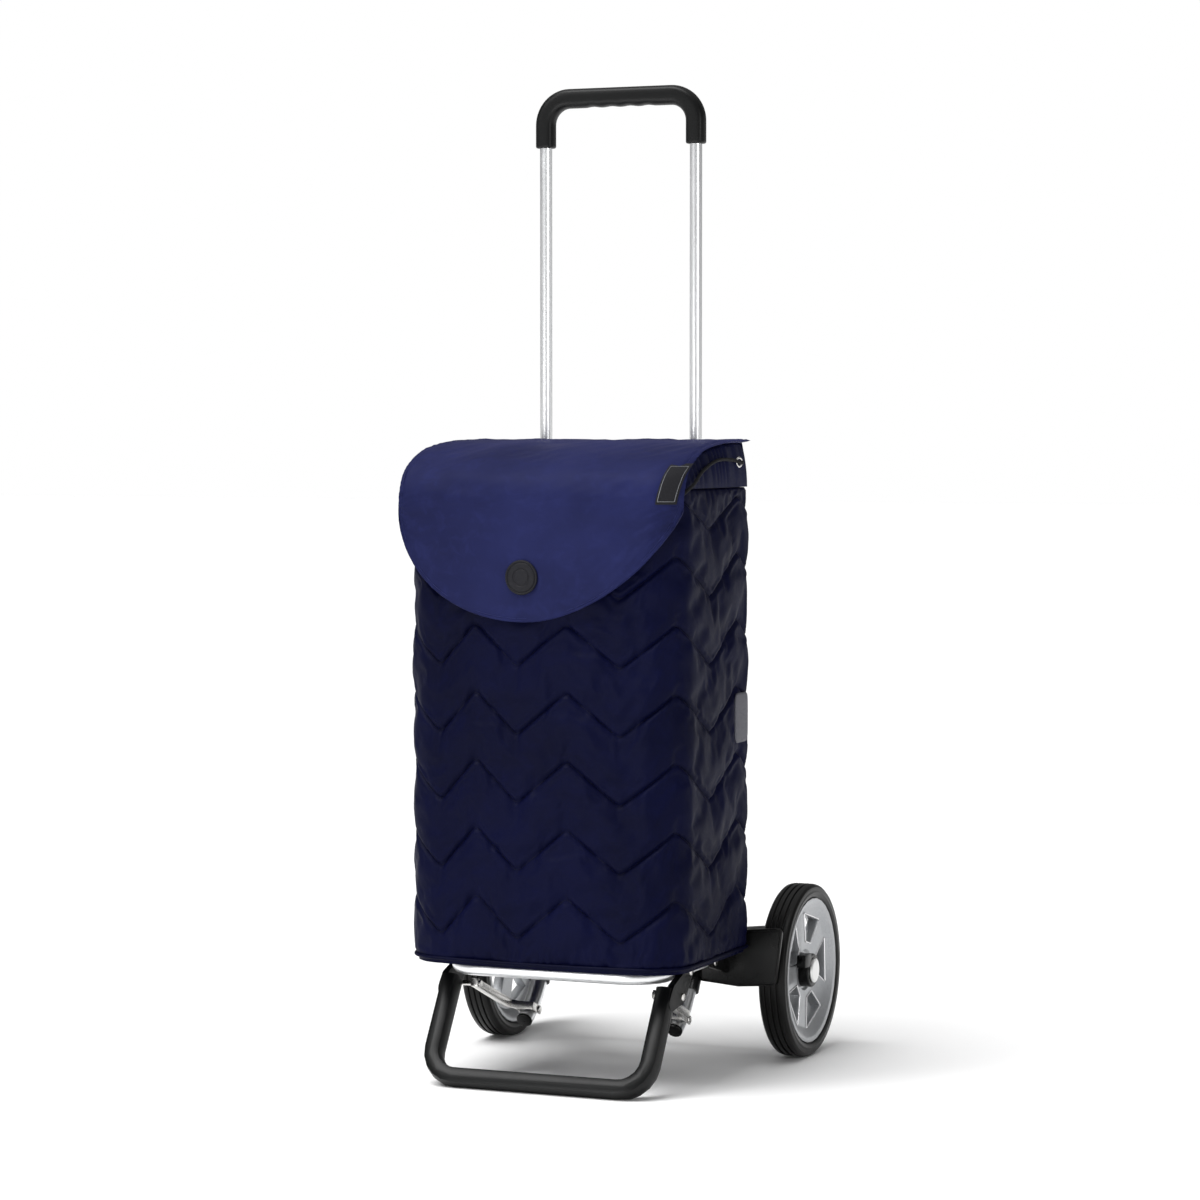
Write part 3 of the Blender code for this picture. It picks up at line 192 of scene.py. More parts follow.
class Finish:
    """A material in the making. node() adds any node, and the other methods are short names for some."""

    def __init__(self, name, **constants):
        self.material = bpy.data.materials.new(name)
        self.material.use_nodes = True
        self.tree = self.material.node_tree
        self.shader = self.tree.nodes["Principled BSDF"]
        for key, value in constants.items():
            socket = self.shader.inputs[key.replace("_", " ").title().replace("Ior", "IOR")]
            socket.default_value = (*value, 1) if hasattr(value, "__len__") and len(value) == 3 else value
        self.place = self.node("ShaderNodeTexCoord", {}, {}, "Object")

    def node(self, kind, settings, inputs, output=0):
        made = self.tree.nodes.new(kind)
        for key, value in settings.items():
            setattr(made, key, value)
        pairs = inputs.items() if isinstance(inputs, dict) else enumerate(inputs)
        for key, value in pairs:
            if isinstance(value, Value):
                self.tree.links.new(value.socket, made.inputs[key])
            else:
                made.inputs[key].default_value = value
        return Value(self, made.outputs[output])

    def stretched(self, scale):
        """Object coordinates with each axis scaled."""
        return self.node("ShaderNodeMapping", {}, {"Vector": self.place, "Scale": scale})

    def noise(self, scale, detail=2.0, place=None, roughness=0.5, distortion=0.0):
        inputs = {
            "Vector": place or self.place, "Scale": scale, "Detail": detail, "Roughness": roughness,
            "Distortion": distortion,
        }
        return self.node("ShaderNodeTexNoise", {}, inputs)

    def wave(self, scale, axis):
        settings = {"wave_type": "BANDS", "bands_direction": axis}
        return self.node("ShaderNodeTexWave", settings, {"Vector": self.place, "Scale": scale})

    def cells(self, scale):
        """The distance to the nearest edge of a Voronoi cell."""
        settings = {"feature": "DISTANCE_TO_EDGE"}
        return self.node("ShaderNodeTexVoronoi", settings, {"Vector": self.place, "Scale": scale})

    def mix(self, factor, a, b):
        """Colour a where factor is 0 and b where it is 1."""
        a, b = [value if isinstance(value, Value) else (*value, 1) for value in (a, b)]
        made = self.tree.nodes.new("ShaderNodeMix")
        made.data_type = "RGBA"
        for index, value in ((0, factor), (6, a), (7, b)):
            if isinstance(value, Value):
                self.tree.links.new(value.socket, made.inputs[index])
            else:
                made.inputs[index].default_value = value
        return Value(self, made.outputs[2])

    def feed(self, **links):
        for key, value in links.items():
            self.tree.links.new(value.socket, self.shader.inputs[key.replace("_", " ").title()])

    def bump(self, *layers):
        """Layers of (height, distance in metres), each on top of the one before."""
        normal = None
        for height, distance in layers:
            inputs = {"Height": height, "Distance": distance, "Strength": 1.0}
            if normal:
                inputs["Normal"] = normal
            normal = self.node("ShaderNodeBump", {}, inputs)
        self.feed(normal=normal)
        return self.material


def scaled(colour, share):
    return tuple(min(channel * share, 1.0) for channel in colour)


def cloth(name, colour, crease, gloss, sheen=0.004):
    """Woven nylon: a fine plain weave, soft creases and slow changes of shade."""
    finish = Finish(name, roughness=gloss, specular_ior_level=0.05, sheen_weight=sheen, sheen_roughness=0.35,
                    sheen_tint=(0.5, 0.45, 1.0))
    slow = finish.noise(7.0, 3.0)
    fine = finish.noise(60.0, 4.0, roughness=0.6, distortion=0.6)
    weave = finish.wave(620.0, "X") * finish.wave(620.0, "Z")
    shade = finish.mix(slow.ease(0.3, 0.7), scaled(colour, 0.8), scaled(colour, 1.25))
    shade = finish.mix(fine.ease(0.45, 0.75) * 0.35, shade, scaled(colour, 1.6))
    shade = finish.mix(weave * 0.12, shade, scaled(colour, 0.6))
    finish.feed(base_color=shade, roughness=gloss - 0.06 + 0.12 * fine)
    return finish.bump((slow, crease * 3), (fine, crease), (weave, 0.00004))


def metal(name, colour, roughness, along):
    """Drawn metal: fine streaks along the tube and faint handling marks."""
    finish = Finish(name, base_color=colour, metallic=1.0)
    streaks = finish.noise(1.0, 3.0, finish.stretched(along))
    marks = finish.noise(35.0, 5.0, roughness=0.65)
    shade = finish.mix(marks.ease(0.5, 0.8) * 0.25, colour, scaled(colour, 0.86))
    rough = roughness - 0.05 + 0.09 * streaks + 0.08 * marks.ease(0.55, 0.8)
    finish.feed(base_color=shade, roughness=rough)
    return finish.bump((streaks, 0.00003), (marks, 0.00004))


def moulded(name, colour, roughness, grain, worn=0.35):
    """Moulded plastic or rubber: a fine grain, with dull and slightly greyer patches."""
    finish = Finish(name, base_color=colour, specular_ior_level=0.19)
    grit = finish.noise(grain, 2.0)
    patches = finish.noise(22.0, 4.0, roughness=0.6)
    dust = patches.ease(0.5, 0.78)
    shade = finish.mix(dust * worn, colour, tuple(channel * 1.7 + 0.002 for channel in colour))
    finish.feed(base_color=shade, roughness=roughness + 0.1 * dust - 0.05 * grit)
    return finish.bump((grit, 0.00005), (patches, 0.0001))


def silver_paint(name, colour):
    """Metallic lacquer on plastic: tiny flakes under a clear gloss."""
    finish = Finish(name, metallic=0.72, coat_weight=0.25, coat_roughness=0.18)
    flakes = finish.node("ShaderNodeTexVoronoi", {}, {"Vector": finish.place, "Scale": 1800.0}, "Color")
    grey = finish.node("ShaderNodeSeparateColor", {}, {"Color": flakes})
    cloudy = finish.noise(40.0, 3.0)
    shade = finish.mix(grey.ease(0.2, 0.9), scaled(colour, 0.88), scaled(colour, 1.14))
    finish.feed(base_color=shade, roughness=0.3 + 0.12 * cloudy)
    return finish.bump((grey, 0.00001), (cloudy, 0.00005))


def leather(name, colour):
    """Grained leather: small rounded cells with darker creases between them."""
    finish = Finish(name, specular_ior_level=0.18)
    cells = finish.cells(900.0)
    soft = finish.noise(150.0, 3.0)
    crease = 1 - cells.ease(0.0, 0.25)
    shade = finish.mix(crease, scaled(colour, 1.3), scaled(colour, 0.6))
    finish.feed(base_color=shade, roughness=0.42 + 0.16 * soft)
    return finish.bump((cells.ease(0.0, 0.3), 0.00009), (soft, 0.0001))


def braid(name, colour, scale):
    """Braided cord or woven tape: two sets of slanting bands that cross."""
    finish = Finish(name, specular_ior_level=0.2)
    one, two = finish.wave(scale, "DIAGONAL"), finish.wave(scale * 0.93, "X")
    pattern = one * two
    fuzz = finish.noise(900.0, 2.0)
    shade = finish.mix(pattern, scaled(colour, 0.6), scaled(colour, 1.5))
    finish.feed(base_color=shade, roughness=0.66 + 0.2 * fuzz)
    return finish.bump((pattern, 0.00016), (fuzz, 0.00004))


def glass_beads(name, colour):
    """Reflective tape: a honeycomb of welded seams over grey beads."""
    finish = Finish(name, metallic=0.25)
    comb = finish.cells(260.0)
    beads = finish.noise(1500.0, 1.0)
    seam = 1 - comb.ease(0.03, 0.09)
    shade = finish.mix(seam, colour, scaled(colour, 0.55))
    finish.feed(base_color=shade, roughness=0.38 + 0.2 * beads)
    return finish.bump((comb.ease(0.02, 0.1), 0.00012), (beads, 0.00002))


LOOKS = {}


def make_looks():
    c = colours()
    quilt, lid, plastic = tuple(c.quilt), tuple(c.lid), tuple(c.plastic)
    LOOKS.update(
        quilt=cloth("Quilted nylon", quilt, 0.00022, 0.50, 0.012),
        lid=cloth("Plain nylon", lid, 0.00008, 0.52, 0.05),
        collar=cloth("Collar nylon", scaled(lid, 0.5), 0.0002, 0.52),
        lining=cloth("Lining", scaled(quilt, 1.6), 0.0003, 0.6),
        piping=cloth("Piping cloth", scaled(quilt, 0.7), 0.0002, 0.5),
        thread=braid("Sewing thread", scaled(quilt, 0.8), 1500.0),
        topstitch=braid("Topstitch thread", scaled(lid, 2.2), 1500.0),
        tube=metal("Anodised tube", tuple(c.aluminium), 0.30, (420.0, 420.0, 8.0)),
        shelf_tube=metal("Anodised shelf tube", tuple(c.aluminium), 0.38, (8.0, 60.0, 420.0)),
        steel=metal("Bright zinc steel", (0.66, 0.65, 0.63), 0.26, (60.0, 60.0, 60.0)),
        cap=metal("Turned cap", (0.72, 0.72, 0.71), 0.3, (20.0, 600.0, 600.0)),
        plastic=moulded("Satin plastic", plastic, 0.30, 1400.0),
        foot=moulded("Grained plastic", scaled(plastic, 1.25), 0.4, 900.0),
        grip=moulded("Grip plastic", scaled(plastic, 1.1), 0.4, 1100.0),
        rubber=moulded("Tyre rubber", tuple(c.rubber), 0.36, 700.0, 0.35),
        rim=silver_paint("Silver lacquer", tuple(c.rim)),
        # The lips round the rim windows are real, but their metal is much brighter than the rim's lacquer: a
        # painted highlight.
        rim_edge=metal("Rim edge painted highlight", (0.80, 0.80, 0.81), 0.22, (60.0, 60.0, 60.0)),
        leather=leather("Black leather", (0.006, 0.006, 0.009)),
        cord=braid("Braided cord", (0.006, 0.006, 0.0075), 520.0),
        label_thread=braid("Label thread", (0.30, 0.31, 0.33), 1500.0),
        webbing=braid("Webbing", (0.012, 0.012, 0.015), 300.0),
        reflective=glass_beads("Reflective tape", (0.075, 0.075, 0.095)),
        board=moulded("Board", (0.03, 0.03, 0.032), 0.6, 300.0),
    )


# Meshes

def quads(rows, columns, ring=True, loop=False):
    """Faces between neighbours on a grid. ring joins the last column to the first, loop the last row."""
    r = np.arange(rows if loop else rows - 1)[:, None]
    c = np.arange(columns if ring else columns - 1)[None, :]
    r2, c2 = (r + 1) % rows, (c + 1) % columns
    corners = [r * columns + c, r * columns + c2, r2 * columns + c2, r2 * columns + c]
    return np.stack(corners, -1).reshape(-1, 4)


def raw_mesh(name, grids):
    """One mesh from grids of (points, faces)."""
    points, faces, start = [], [], 0
    for grid, quad in grids:
        flat = np.asarray(grid, float).reshape(-1, 3)
        points.append(flat)
        faces.append(quad + start)
        start += len(flat)
    mesh = bpy.data.meshes.new(name)
    mesh.from_pydata(np.concatenate(points).tolist(), [], np.concatenate(faces).tolist())
    return mesh


def put(name, mesh, look, body, nodes=(), soft=False, angle=38, weld=1e-6):
    """The mesh as a finished piece: doubles merged, faces outward, shaded smooth, riding on its body."""
    bm = bmesh.new()
    bm.from_mesh(mesh)
    bmesh.ops.remove_doubles(bm, verts=bm.verts, dist=weld)
    bmesh.ops.dissolve_degenerate(bm, edges=bm.edges, dist=1e-7)
    bmesh.ops.recalc_face_normals(bm, faces=bm.faces)
    bm.to_mesh(mesh)
    bm.free()
    mesh.shade_smooth()
    mesh.set_sharp_from_angle(angle=radians(angle))
    mesh.materials.append(LOOKS[look])
    obj = bpy.data.objects.new(name, mesh)
    bpy.context.scene.collection.objects.link(obj)
    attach(obj, body)
    if nodes:
        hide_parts(*nodes)
    if soft:
        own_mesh(obj)
    return obj


def polish(node, look, body, bevel=0.0004, soft=False, name=None, segments=2):
    """A copy of a CAD node with its doubles merged, flat faces joined and edges rounded by bevel."""
    mesh = frame["nodes"][node].data.copy()
    mesh.materials.clear()
    bm = bmesh.new()
    bm.from_mesh(mesh)
    bmesh.ops.remove_doubles(bm, verts=bm.verts, dist=1e-5)
    bmesh.ops.dissolve_limit(bm, angle_limit=radians(1), verts=bm.verts, edges=bm.edges)
    if bevel:
        sharp = [e for e in bm.edges if len(e.link_faces) == 2 and e.calc_face_angle(0) > radians(40)]
        bmesh.ops.bevel(
            bm, geom=sharp, offset=bevel, segments=segments, affect="EDGES", clamp_overlap=True, profile=0.5,
        )
    bm.to_mesh(mesh)
    bm.free()
    return put(name or f"{node}_finish", mesh, look, body, (node,), soft)


def circle(radius, count):
    angle = np.arange(count) * 2 * pi / count
    return np.stack([radius * np.cos(angle), radius * np.sin(angle)], -1)


def squarish(half_a, half_b, power, count):
    """A superellipse: |a / half_a| ** power + |b / half_b| ** power = 1, at even angles."""
    angle = (np.arange(count) + 0.5) * 2 * pi / count
    c, s = np.cos(angle), np.sin(angle)
    reach = (abs(c) ** power + abs(s) ** power) ** (-1 / power)
    return np.stack([half_a * reach * c, half_b * reach * s], -1)


def rounded(corners, radii, steps=8):
    """A path through corners, each turned on an arc of its radius that touches both of its legs."""
    corners = np.asarray(corners, float)
    path = [corners[:1]]
    for before, corner, after, radius in zip(corners, corners[1:], corners[2:], radii):
        a, b = before - corner, after - corner
        a, b = a / np.linalg.norm(a), b / np.linalg.norm(b)
        half = np.arccos(np.clip(a @ b, -1, 1)) / 2
        centre = corner + (a + b) / np.linalg.norm(a + b) * radius / sin(half)
        start = corner + a * radius / tan(half) - centre
        end = corner + b * radius / tan(half) - centre
        across = end - start * (end @ start) / (start @ start)
        across *= np.linalg.norm(start) / np.linalg.norm(across)
        angle = np.linspace(0, pi - 2 * half, steps + 1)[:, None]
        path.append(centre + np.cos(angle) * start + np.sin(angle) * across)
    path.append(corners[-1:])
    return np.concatenate(path)


def evenly(path, count, closed=False):
    """The path with count points at even steps along it."""
    path = np.asarray(path, float)
    if closed:
        path = np.concatenate([path, path[:1]])
    run = np.concatenate([[0], np.cumsum(np.linalg.norm(np.diff(path, axis=0), axis=1))])
    where = np.linspace(0, run[-1], count + 1)[:-1] if closed else np.linspace(0, run[-1], count)
    return np.stack([np.interp(where, run, column) for column in path.T], -1)


def spline(points, per_leg=8):
    """A Catmull-Rom curve through the points."""
    points = np.asarray(points, float)
    ends = np.concatenate([2 * points[:1] - points[1:2], points, 2 * points[-1:] - points[-2:-1]])
    a, b, c, d = (ends[k:len(ends) - 3 + k, None, :] for k in range(4))
    t = (np.arange(per_leg) / per_leg)[None, :, None]
    square, cube = 2 * a - 5 * b + 4 * c - d, 3 * b - a - 3 * c + d
    curve = 0.5 * (2 * b + (c - a) * t + square * t ** 2 + cube * t ** 3)
    return np.concatenate([curve.reshape(-1, points.shape[1]), points[-1:]])


def carried(path, outline, normal):
    """An outline carried along a flat path, its first number along normal and its second across the path."""
    across = np.cross(normal, np.gradient(path, axis=0))
    across /= np.linalg.norm(across, axis=1)[:, None]
    outline = np.broadcast_to(outline, (len(path), *np.shape(outline)[-2:]))
    return path[:, None] + outline[..., :1] * normal + outline[..., 1:] * across[:, None]


def capped(grid):
    """The grid with both ends drawn to a point at their middles."""
    start, end = (ring.mean(0) + 0 * ring for ring in (grid[0], grid[-1]))
    return np.concatenate([start[None], grid, end[None]])


def turned(profile, centre, axis=X, count=64, corner=0.0, steps=4):
    """(radius, along) points turned round an axis through centre, with corners rounded first."""
    profile = np.asarray(profile, float)
    if corner:
        profile = rounded(profile, [corner] * (len(profile) - 2), steps)
    side = Z if abs(axis[2]) < 0.5 else X
    other = np.cross(axis, side)
    angle = (np.arange(count) * 2 * pi / count)[None, :, None]
    radial = np.cos(angle) * side + np.sin(angle) * other
    grid = np.asarray(centre) + profile[:, None, 1:] * axis + profile[:, None, :1] * radial
    return grid, quads(len(profile), count)


def ripple(a, b, size, seed, count=9):
    """Smooth random waves over two coordinates: a sum of sines that run in random directions."""
    rng = np.random.default_rng(seed)
    total = 0
    angles, phases, stretches = (rng.uniform(*span, count) for span in ((0, pi), (0, 2 * pi), (0.6, 1.6)))
    for angle, phase, stretch in zip(angles, phases, stretches):
        total = total + np.sin((a * cos(angle) + b * sin(angle)) * 2 * pi * stretch / size + phase)
    return total / count ** 0.5


def ease(value, start, end):
    t = np.clip((value - start) / (end - start), 0, 1)
    return t * t * (3 - 2 * t)


def pipe(path, radius, wall, normal, count=28):
    """A round tube with a bore, carried along a flat path."""
    ring = circle(radius, count)
    outer, inner = carried(path, ring, normal), carried(path, ring * (radius - wall) / radius, normal)
    grid = np.concatenate([outer, inner[::-1]])
    return grid, quads(*grid.shape[:2], True, True)


def cord_grid(path, radius, count=12, swell=None):
    """A round cord along any path that never runs straight up."""
    path = np.asarray(path, float)
    tangent = np.gradient(path, axis=0)
    tangent /= np.linalg.norm(tangent, axis=1)[:, None]
    side = np.cross(tangent, Z)
    side /= np.linalg.norm(side, axis=1)[:, None]
    up = np.cross(side, tangent)
    ring = circle(1, count)
    size = np.full(len(path), radius) if swell is None else radius * swell
    grid = path[:, None] + size[:, None, None] * (ring[:, :1] * side[:, None] + ring[:, 1:] * up[:, None])
    grid = capped(grid)
    return grid, quads(*grid.shape[:2])


def stitches(path, out, pitch=0.0034):
    """Thread along a path: thick in the middle of each stitch, and thin where it dips through the cloth."""
    length = np.linalg.norm(np.diff(path, axis=0), axis=1).sum()
    steps = max(int(length / pitch), 2) * 6
    line = evenly(np.concatenate([path, out], 1), steps + 1)
    path, out = line[:, :3], line[:, 3:]
    out = out / np.linalg.norm(out, axis=1)[:, None]
    arch = abs(np.sin(np.arange(steps + 1) * pi / 6)) ** 0.6
    path = path + out * (0.00022 * arch - 0.0001)[:, None]
    tangent = np.gradient(path, axis=0)
    side = np.cross(tangent, out)
    side /= np.linalg.norm(side, axis=1)[:, None]
    ring = circle(shape().thread / 2, 5)
    size = (0.35 + 0.65 * arch)[:, None, None]
    grid = path[:, None] + size * (ring[:, :1] * side[:, None] + ring[:, 1:] * out[:, None])
    return grid, quads(*grid.shape[:2])


# The bag's outline

BAG_HALF, BAG_BACK = float(BAG_HIGH[0]), float(BAG_HIGH[1])
BAG_FRONT, HEM_Z = float(BAG_LOW[1]), float(BAG_LOW[2])
BAG_DEPTH = BAG_BACK - BAG_FRONT
FRONT_CORNER, BACK_CORNER, BOW = 0.048, 0.008, 0.008
COLUMNS = 216
GIRTH = 1.06  # about the length of the outline
LINING = 0.0042


def arc(centre, radius, start, end, steps=12):
    angle = np.radians(np.linspace(start, end, steps + 1))
    return np.stack([centre[0] + radius * np.cos(angle), centre[1] + radius * np.sin(angle)], -1)


def bag_outline(inset=0.0, count=COLUMNS):
    """X and Y round the bag from the middle of its back, over its left side: straight back and sides, an arc
    at each corner, and a front that bows forward on a parabola."""
    half, back, front = BAG_HALF - inset, BAG_BACK - inset, BAG_FRONT + BOW + inset
    wide, small = FRONT_CORNER - inset, max(BACK_CORNER - inset, 0.003)
    x = np.linspace(wide - half, half - wide, 31)[1:-1]
    bowed = np.stack([x, front - BOW * (1 - (x / (half - wide)) ** 2)], -1)
    outline = np.concatenate([
        [[0, back]],
        arc((small - half, back - small), small, 90, 180), arc((wide - half, front + wide), wide, 180, 270),
        bowed,
        arc((half - wide, front + wide), wide, 270, 360), arc((half - small, back - small), small, 0, 90),
    ])
    return evenly(outline, count, True)


def outline_out(outline):
    """Unit vectors that point out of a closed outline."""
    along = np.roll(outline, -1, 0) - np.roll(outline, 1, 0)
    out = np.stack([along[:, 1], -along[:, 0]], -1)
    return out / np.linalg.norm(out, axis=1)[:, None]


def outline_run(outline):
    """The distance of each point from the middle of the front, round the outline: right is positive."""
    step = np.linalg.norm(np.roll(outline, -1, 0) - outline, axis=1)
    run = np.concatenate([[0], np.cumsum(step)[:-1]])
    return run - step.sum() / 2


def wall(outline, out, height, push=0.0):
    """Points over an outline at heights (row, column), pushed out by push."""
    push = np.broadcast_to(push, height.shape)
    x, y = (outline[:, axis] + out[:, axis] * push for axis in (0, 1))
    return np.stack([x, y, np.broadcast_to(height, push.shape)], -1)


# The quilt

FIRST_STITCH = 0.168
STITCH_LINES = 7
BAND_ROWS = (8, *[15] * (STITCH_LINES - 1), 6)
# Where the stitch lines turn, measured round the bag from the middle of its front
TURNS = (-0.53, -0.46, -0.40, -0.335, -0.25, -0.175, -0.117, -0.073, -0.022, 0.037, 0.098, 0.165, 0.25, 0.335,
         0.40, 0.46, 0.53)


def zigzag(run):
    """0 at the valleys of a stitch line and 1 at its peaks, straight between them, with the turns rounded."""
    soft = np.linspace(-0.0035, 0.0035, 7)[:, None]
    return np.interp(run + soft, TURNS, [k % 2 for k in range(len(TURNS))]).mean(0)


def stitch_heights(run):
    """Heights of the hem, of each stitch line and of the top seam, round the bag."""
    s = shape()
    zig = zigzag(run)
    lines = [HEM_Z + 0.0042 + 0 * run]
    for k in range(STITCH_LINES):
        tall = s.zigzag_height * (0.75 if k == STITCH_LINES - 1 else 1)
        lines.append(FIRST_STITCH + s.row_spacing * k + tall * zig)
    return lines + [SEAM_Z - 0.0002 + 0 * run]


def quilt_rows(run):
    """Heights on a grid whose rows follow the stitch lines, with each row's share of the way up its band, and
    the height of the band there."""
    lines = stitch_heights(run)
    heights, shares, bands = [], [], []
    for low_line, high_line, rows in zip(lines, lines[1:], BAND_ROWS):
        for t in np.arange(rows) / rows:
            heights.append(low_line + (high_line - low_line) * t)
            shares.append(t)
            bands.append(high_line - low_line)
    heights.append(lines[-1])
    return np.array(heights), np.array(shares + [0.0]), np.array(bands + [bands[-1]])


def finer(grid, ring):
    """The grid with a point added between neighbours on its first axis, on a cubic through four of them."""
    if ring:
        a, b, c, d = (np.roll(grid, shift, 0) for shift in (1, 0, -1, -2))
    else:
        ends = np.concatenate([2 * grid[:1] - grid[1:2], grid, 2 * grid[-1:] - grid[-2:-1]])
        a, b, c, d = ends[:-3], ends[1:-2], ends[2:-1], ends[3:]
    between = (9 * (b + c) - a - d) / 16
    if ring:
        return np.stack([grid, between], 1).reshape(-1, *grid.shape[1:])
    return np.concatenate([np.stack([grid[:-1], between], 1).reshape(-1, *grid.shape[1:]), grid[-1:]])


def settle(points, faces, pinned, frames, cap):
    """Lets a cloth with pinned rows swell and wrinkle under pressure, and returns its points. None moves
    further than cap."""
    mesh = bpy.data.meshes.new("settling")
    mesh.from_pydata(points.reshape(-1, 3).tolist(), [], faces.tolist())
    obj = bpy.data.objects.new("settling", mesh)
    bpy.context.scene.collection.objects.link(obj)
    group = obj.vertex_groups.new(name="stitched")
    group.add(np.flatnonzero(pinned).tolist(), 1.0, "REPLACE")
    modifier = obj.modifiers.new("Cloth", "CLOTH")
    modifier.point_cache.frame_start, modifier.point_cache.frame_end = 1, frames
    cloth_settings = modifier.settings
    cloth_settings.quality = 7
    cloth_settings.mass = 0.12
    cloth_settings.tension_stiffness = cloth_settings.compression_stiffness = 22
    cloth_settings.shear_stiffness = 6
    cloth_settings.bending_stiffness = 0.25
    cloth_settings.air_damping = 2
    cloth_settings.shrink_min = -0.012
    cloth_settings.use_pressure = True
    cloth_settings.uniform_pressure_force = 1.2
    cloth_settings.effector_weights.gravity = 0
    cloth_settings.vertex_group_mass = "stitched"
    scene = bpy.context.scene
    for frame_number in range(1, frames + 1):
        scene.frame_set(frame_number)
    settled = obj.evaluated_get(bpy.context.evaluated_depsgraph_get()).to_mesh()
    found = np.empty(len(settled.vertices) * 3)
    settled.vertices.foreach_get("co", found)
    bpy.data.objects.remove(obj)
    scene.frame_set(1)
    move = found.reshape(points.shape) - points
    length = np.linalg.norm(move, axis=-1, keepdims=True)
    return points + move * np.minimum(1, cap / np.maximum(length, 1e-9))


def quilted_wall():
    """The outer cloth. Rows between stitch lines swell to ribs whose section is a sine to a power below 1,
    full in the middle and steep at the stitches. It lies flat under the reflectors."""
    s = shape()
    outline = bag_outline(0.0)
    out, run = outline_out(outline), outline_run(outline)
    height, share, band = quilt_rows(run)
    fullness = np.sin(pi * share)[:, None] ** 0.5 * np.clip(band / 0.07, 0.25, 1.0)
    uneven = 1 + 0.14 * ripple(run[None, :], height, 0.09, 3)
    back = ease(outline[:, 1], BAG_BACK - 0.012, BAG_BACK - 0.002)
    push = -0.0030 + s.quilt_puff * fullness * uneven * (1 - 0.7 * back)
    push = push + 0.0003 * ripple(run[None, :], height, 0.04, 4) * (fullness > 0)
    grid = wall(outline, out, height, push)
    pinned = np.zeros(height.shape, bool)
    pinned[share == 0] = True
    grid = settle(grid, quads(*height.shape), pinned, s.cloth_frames, 0.0012)
    limit = BAG_BACK + 0.001
    grid[..., 1] = np.where(grid[..., 1] > limit, limit + (grid[..., 1] - limit) * 0.15, grid[..., 1])
    grid = finer(finer(grid, False).swapaxes(0, 1), True).swapaxes(0, 1)
    rows = np.arange(len(grid)) / 2
    stitched = np.flatnonzero(share == 0)
    off = np.abs(rows[:, None] - stitched).min(1) * 0.005
    fine_run = finer(run[:, None], True)[:, 0]
    fine_run[-1] = (run[-1] - run[0]) / 2 + run[-1] / 2
    fine_out = finer(out, True)
    along = np.linspace(0, 1, len(fine_run), endpoint=False) * len(fine_run)
    pucker = 0.00035 * ripple(along[None, :] * 0.0025, off[:, None] * 0.25, 0.011, 5)
    crease = 0.00022 * ripple(along[None, :] * 0.0025, rows[:, None] * 0.004, 0.028, 6)
    near = np.exp(-((off / 0.009) ** 2))[:, None]
    groove = -0.0015 * np.exp(-((off / 0.0024) ** 2))[:, None]
    place, rise = fine_run[None, :], grid[..., 2] - HEM_Z
    gather = np.sin(2 * pi * place / 0.0135 + 2.2 * ripple(place, grid[..., 2], 0.03, 7))
    pulled = ease(place, -0.10, 0.0) * ease(place, 0.42, 0.30) * np.exp(-(((rise - 0.010) / 0.020) ** 2))
    slack = ease(place, 0.02, 0.09) * ease(place, 0.17, 0.12) * ease(rise, 0.12, 0.22)
    lift = pucker * near * (off > 0)[:, None] + crease * (1 - near) * (1 + 3 * slack) + groove
    lift = lift + 0.0011 * gather * pulled * (0.6 + 0.4 * ripple(place, grid[..., 2], 0.05, 8))
    grid[..., 0] += lift * fine_out[:, 0]
    grid[..., 1] += lift * fine_out[:, 1]
    for side, sign in SIDES:
        box_low, box_high = low(f"{side}_reflector"), high(f"{side}_reflector")
        face = max(abs(box_low[0]), abs(box_high[0]))
        beside = [
            np.maximum(box_low[k] - grid[..., k], grid[..., k] - box_high[k]).clip(0) for k in (1, 2)
        ]
        limit = face - 0.0012 + 0.35 * np.hypot(*beside)
        grid[..., 0] = np.where(grid[..., 0] * sign > limit, limit * sign, grid[..., 0])
    return grid, stitched * 2, fine_out


# The lid

LID_LOW, LID_HIGH = low("lid_flap"), high("lid_flap")
LID_HALF, LID_FRONT, LID_TIP_Z = float(LID_HIGH[0]), float(LID_LOW[1]), float(LID_LOW[2])
LID_THICKNESS, LID_BOW, LID_TIP_X, LID_RIGHT_CUT, LID_RIGHT_PULL = 0.003, 0.016, -0.009, 0.018, 0.018
DROP_START = SEAM_Z - 0.023
DROP = DROP_START - LID_TIP_Z


def lid_profile(per_leg=8):
    """The lid's outer surface from its back edge, over the top and down its front, in Y and Z."""
    back, top = LID_HINGE[1] + 0.0012, LID_HINGE[2] + LID_THICKNESS / 2
    return spline([
        (back, top), (back - 0.090, top - 0.002), (back - 0.160, top - 0.009),
        (LID_FRONT + 0.040, SEAM_Z + 0.033),
        (LID_FRONT + 0.013, SEAM_Z + 0.017), (LID_FRONT + 0.002, SEAM_Z - 0.004), (LID_FRONT, SEAM_Z - 0.018),
    ], per_leg)


def lid_bow(x):
    """How far back the lid's front lies at X: a parabola, with its right corner pulled back further."""
    pulled = np.clip(x / LID_HALF - 0.8, 0, None) / 0.2
    return LID_BOW * (x / LID_HALF) ** 2 + LID_RIGHT_PULL * pulled ** 2


def lid_skew(angle):
    """How far right of an even half ellipse the lower edge lies."""
    return LID_TIP_X * np.cos(angle) ** 2 - LID_RIGHT_CUT * np.clip(np.sin(2 * angle), 0, None)


def lid_edge(angle, margin=0.0):
    """X and Z of the hanging front's lower edge, a skewed half ellipse, moved in by margin."""
    x, z = LID_HALF * np.sin(angle) + lid_skew(angle), DROP_START - DROP * np.cos(angle)
    dx, dz = np.gradient(x, angle), np.gradient(z, angle)
    size = np.hypot(dx, dz)
    return x - dz / size * margin, z + dx / size * margin


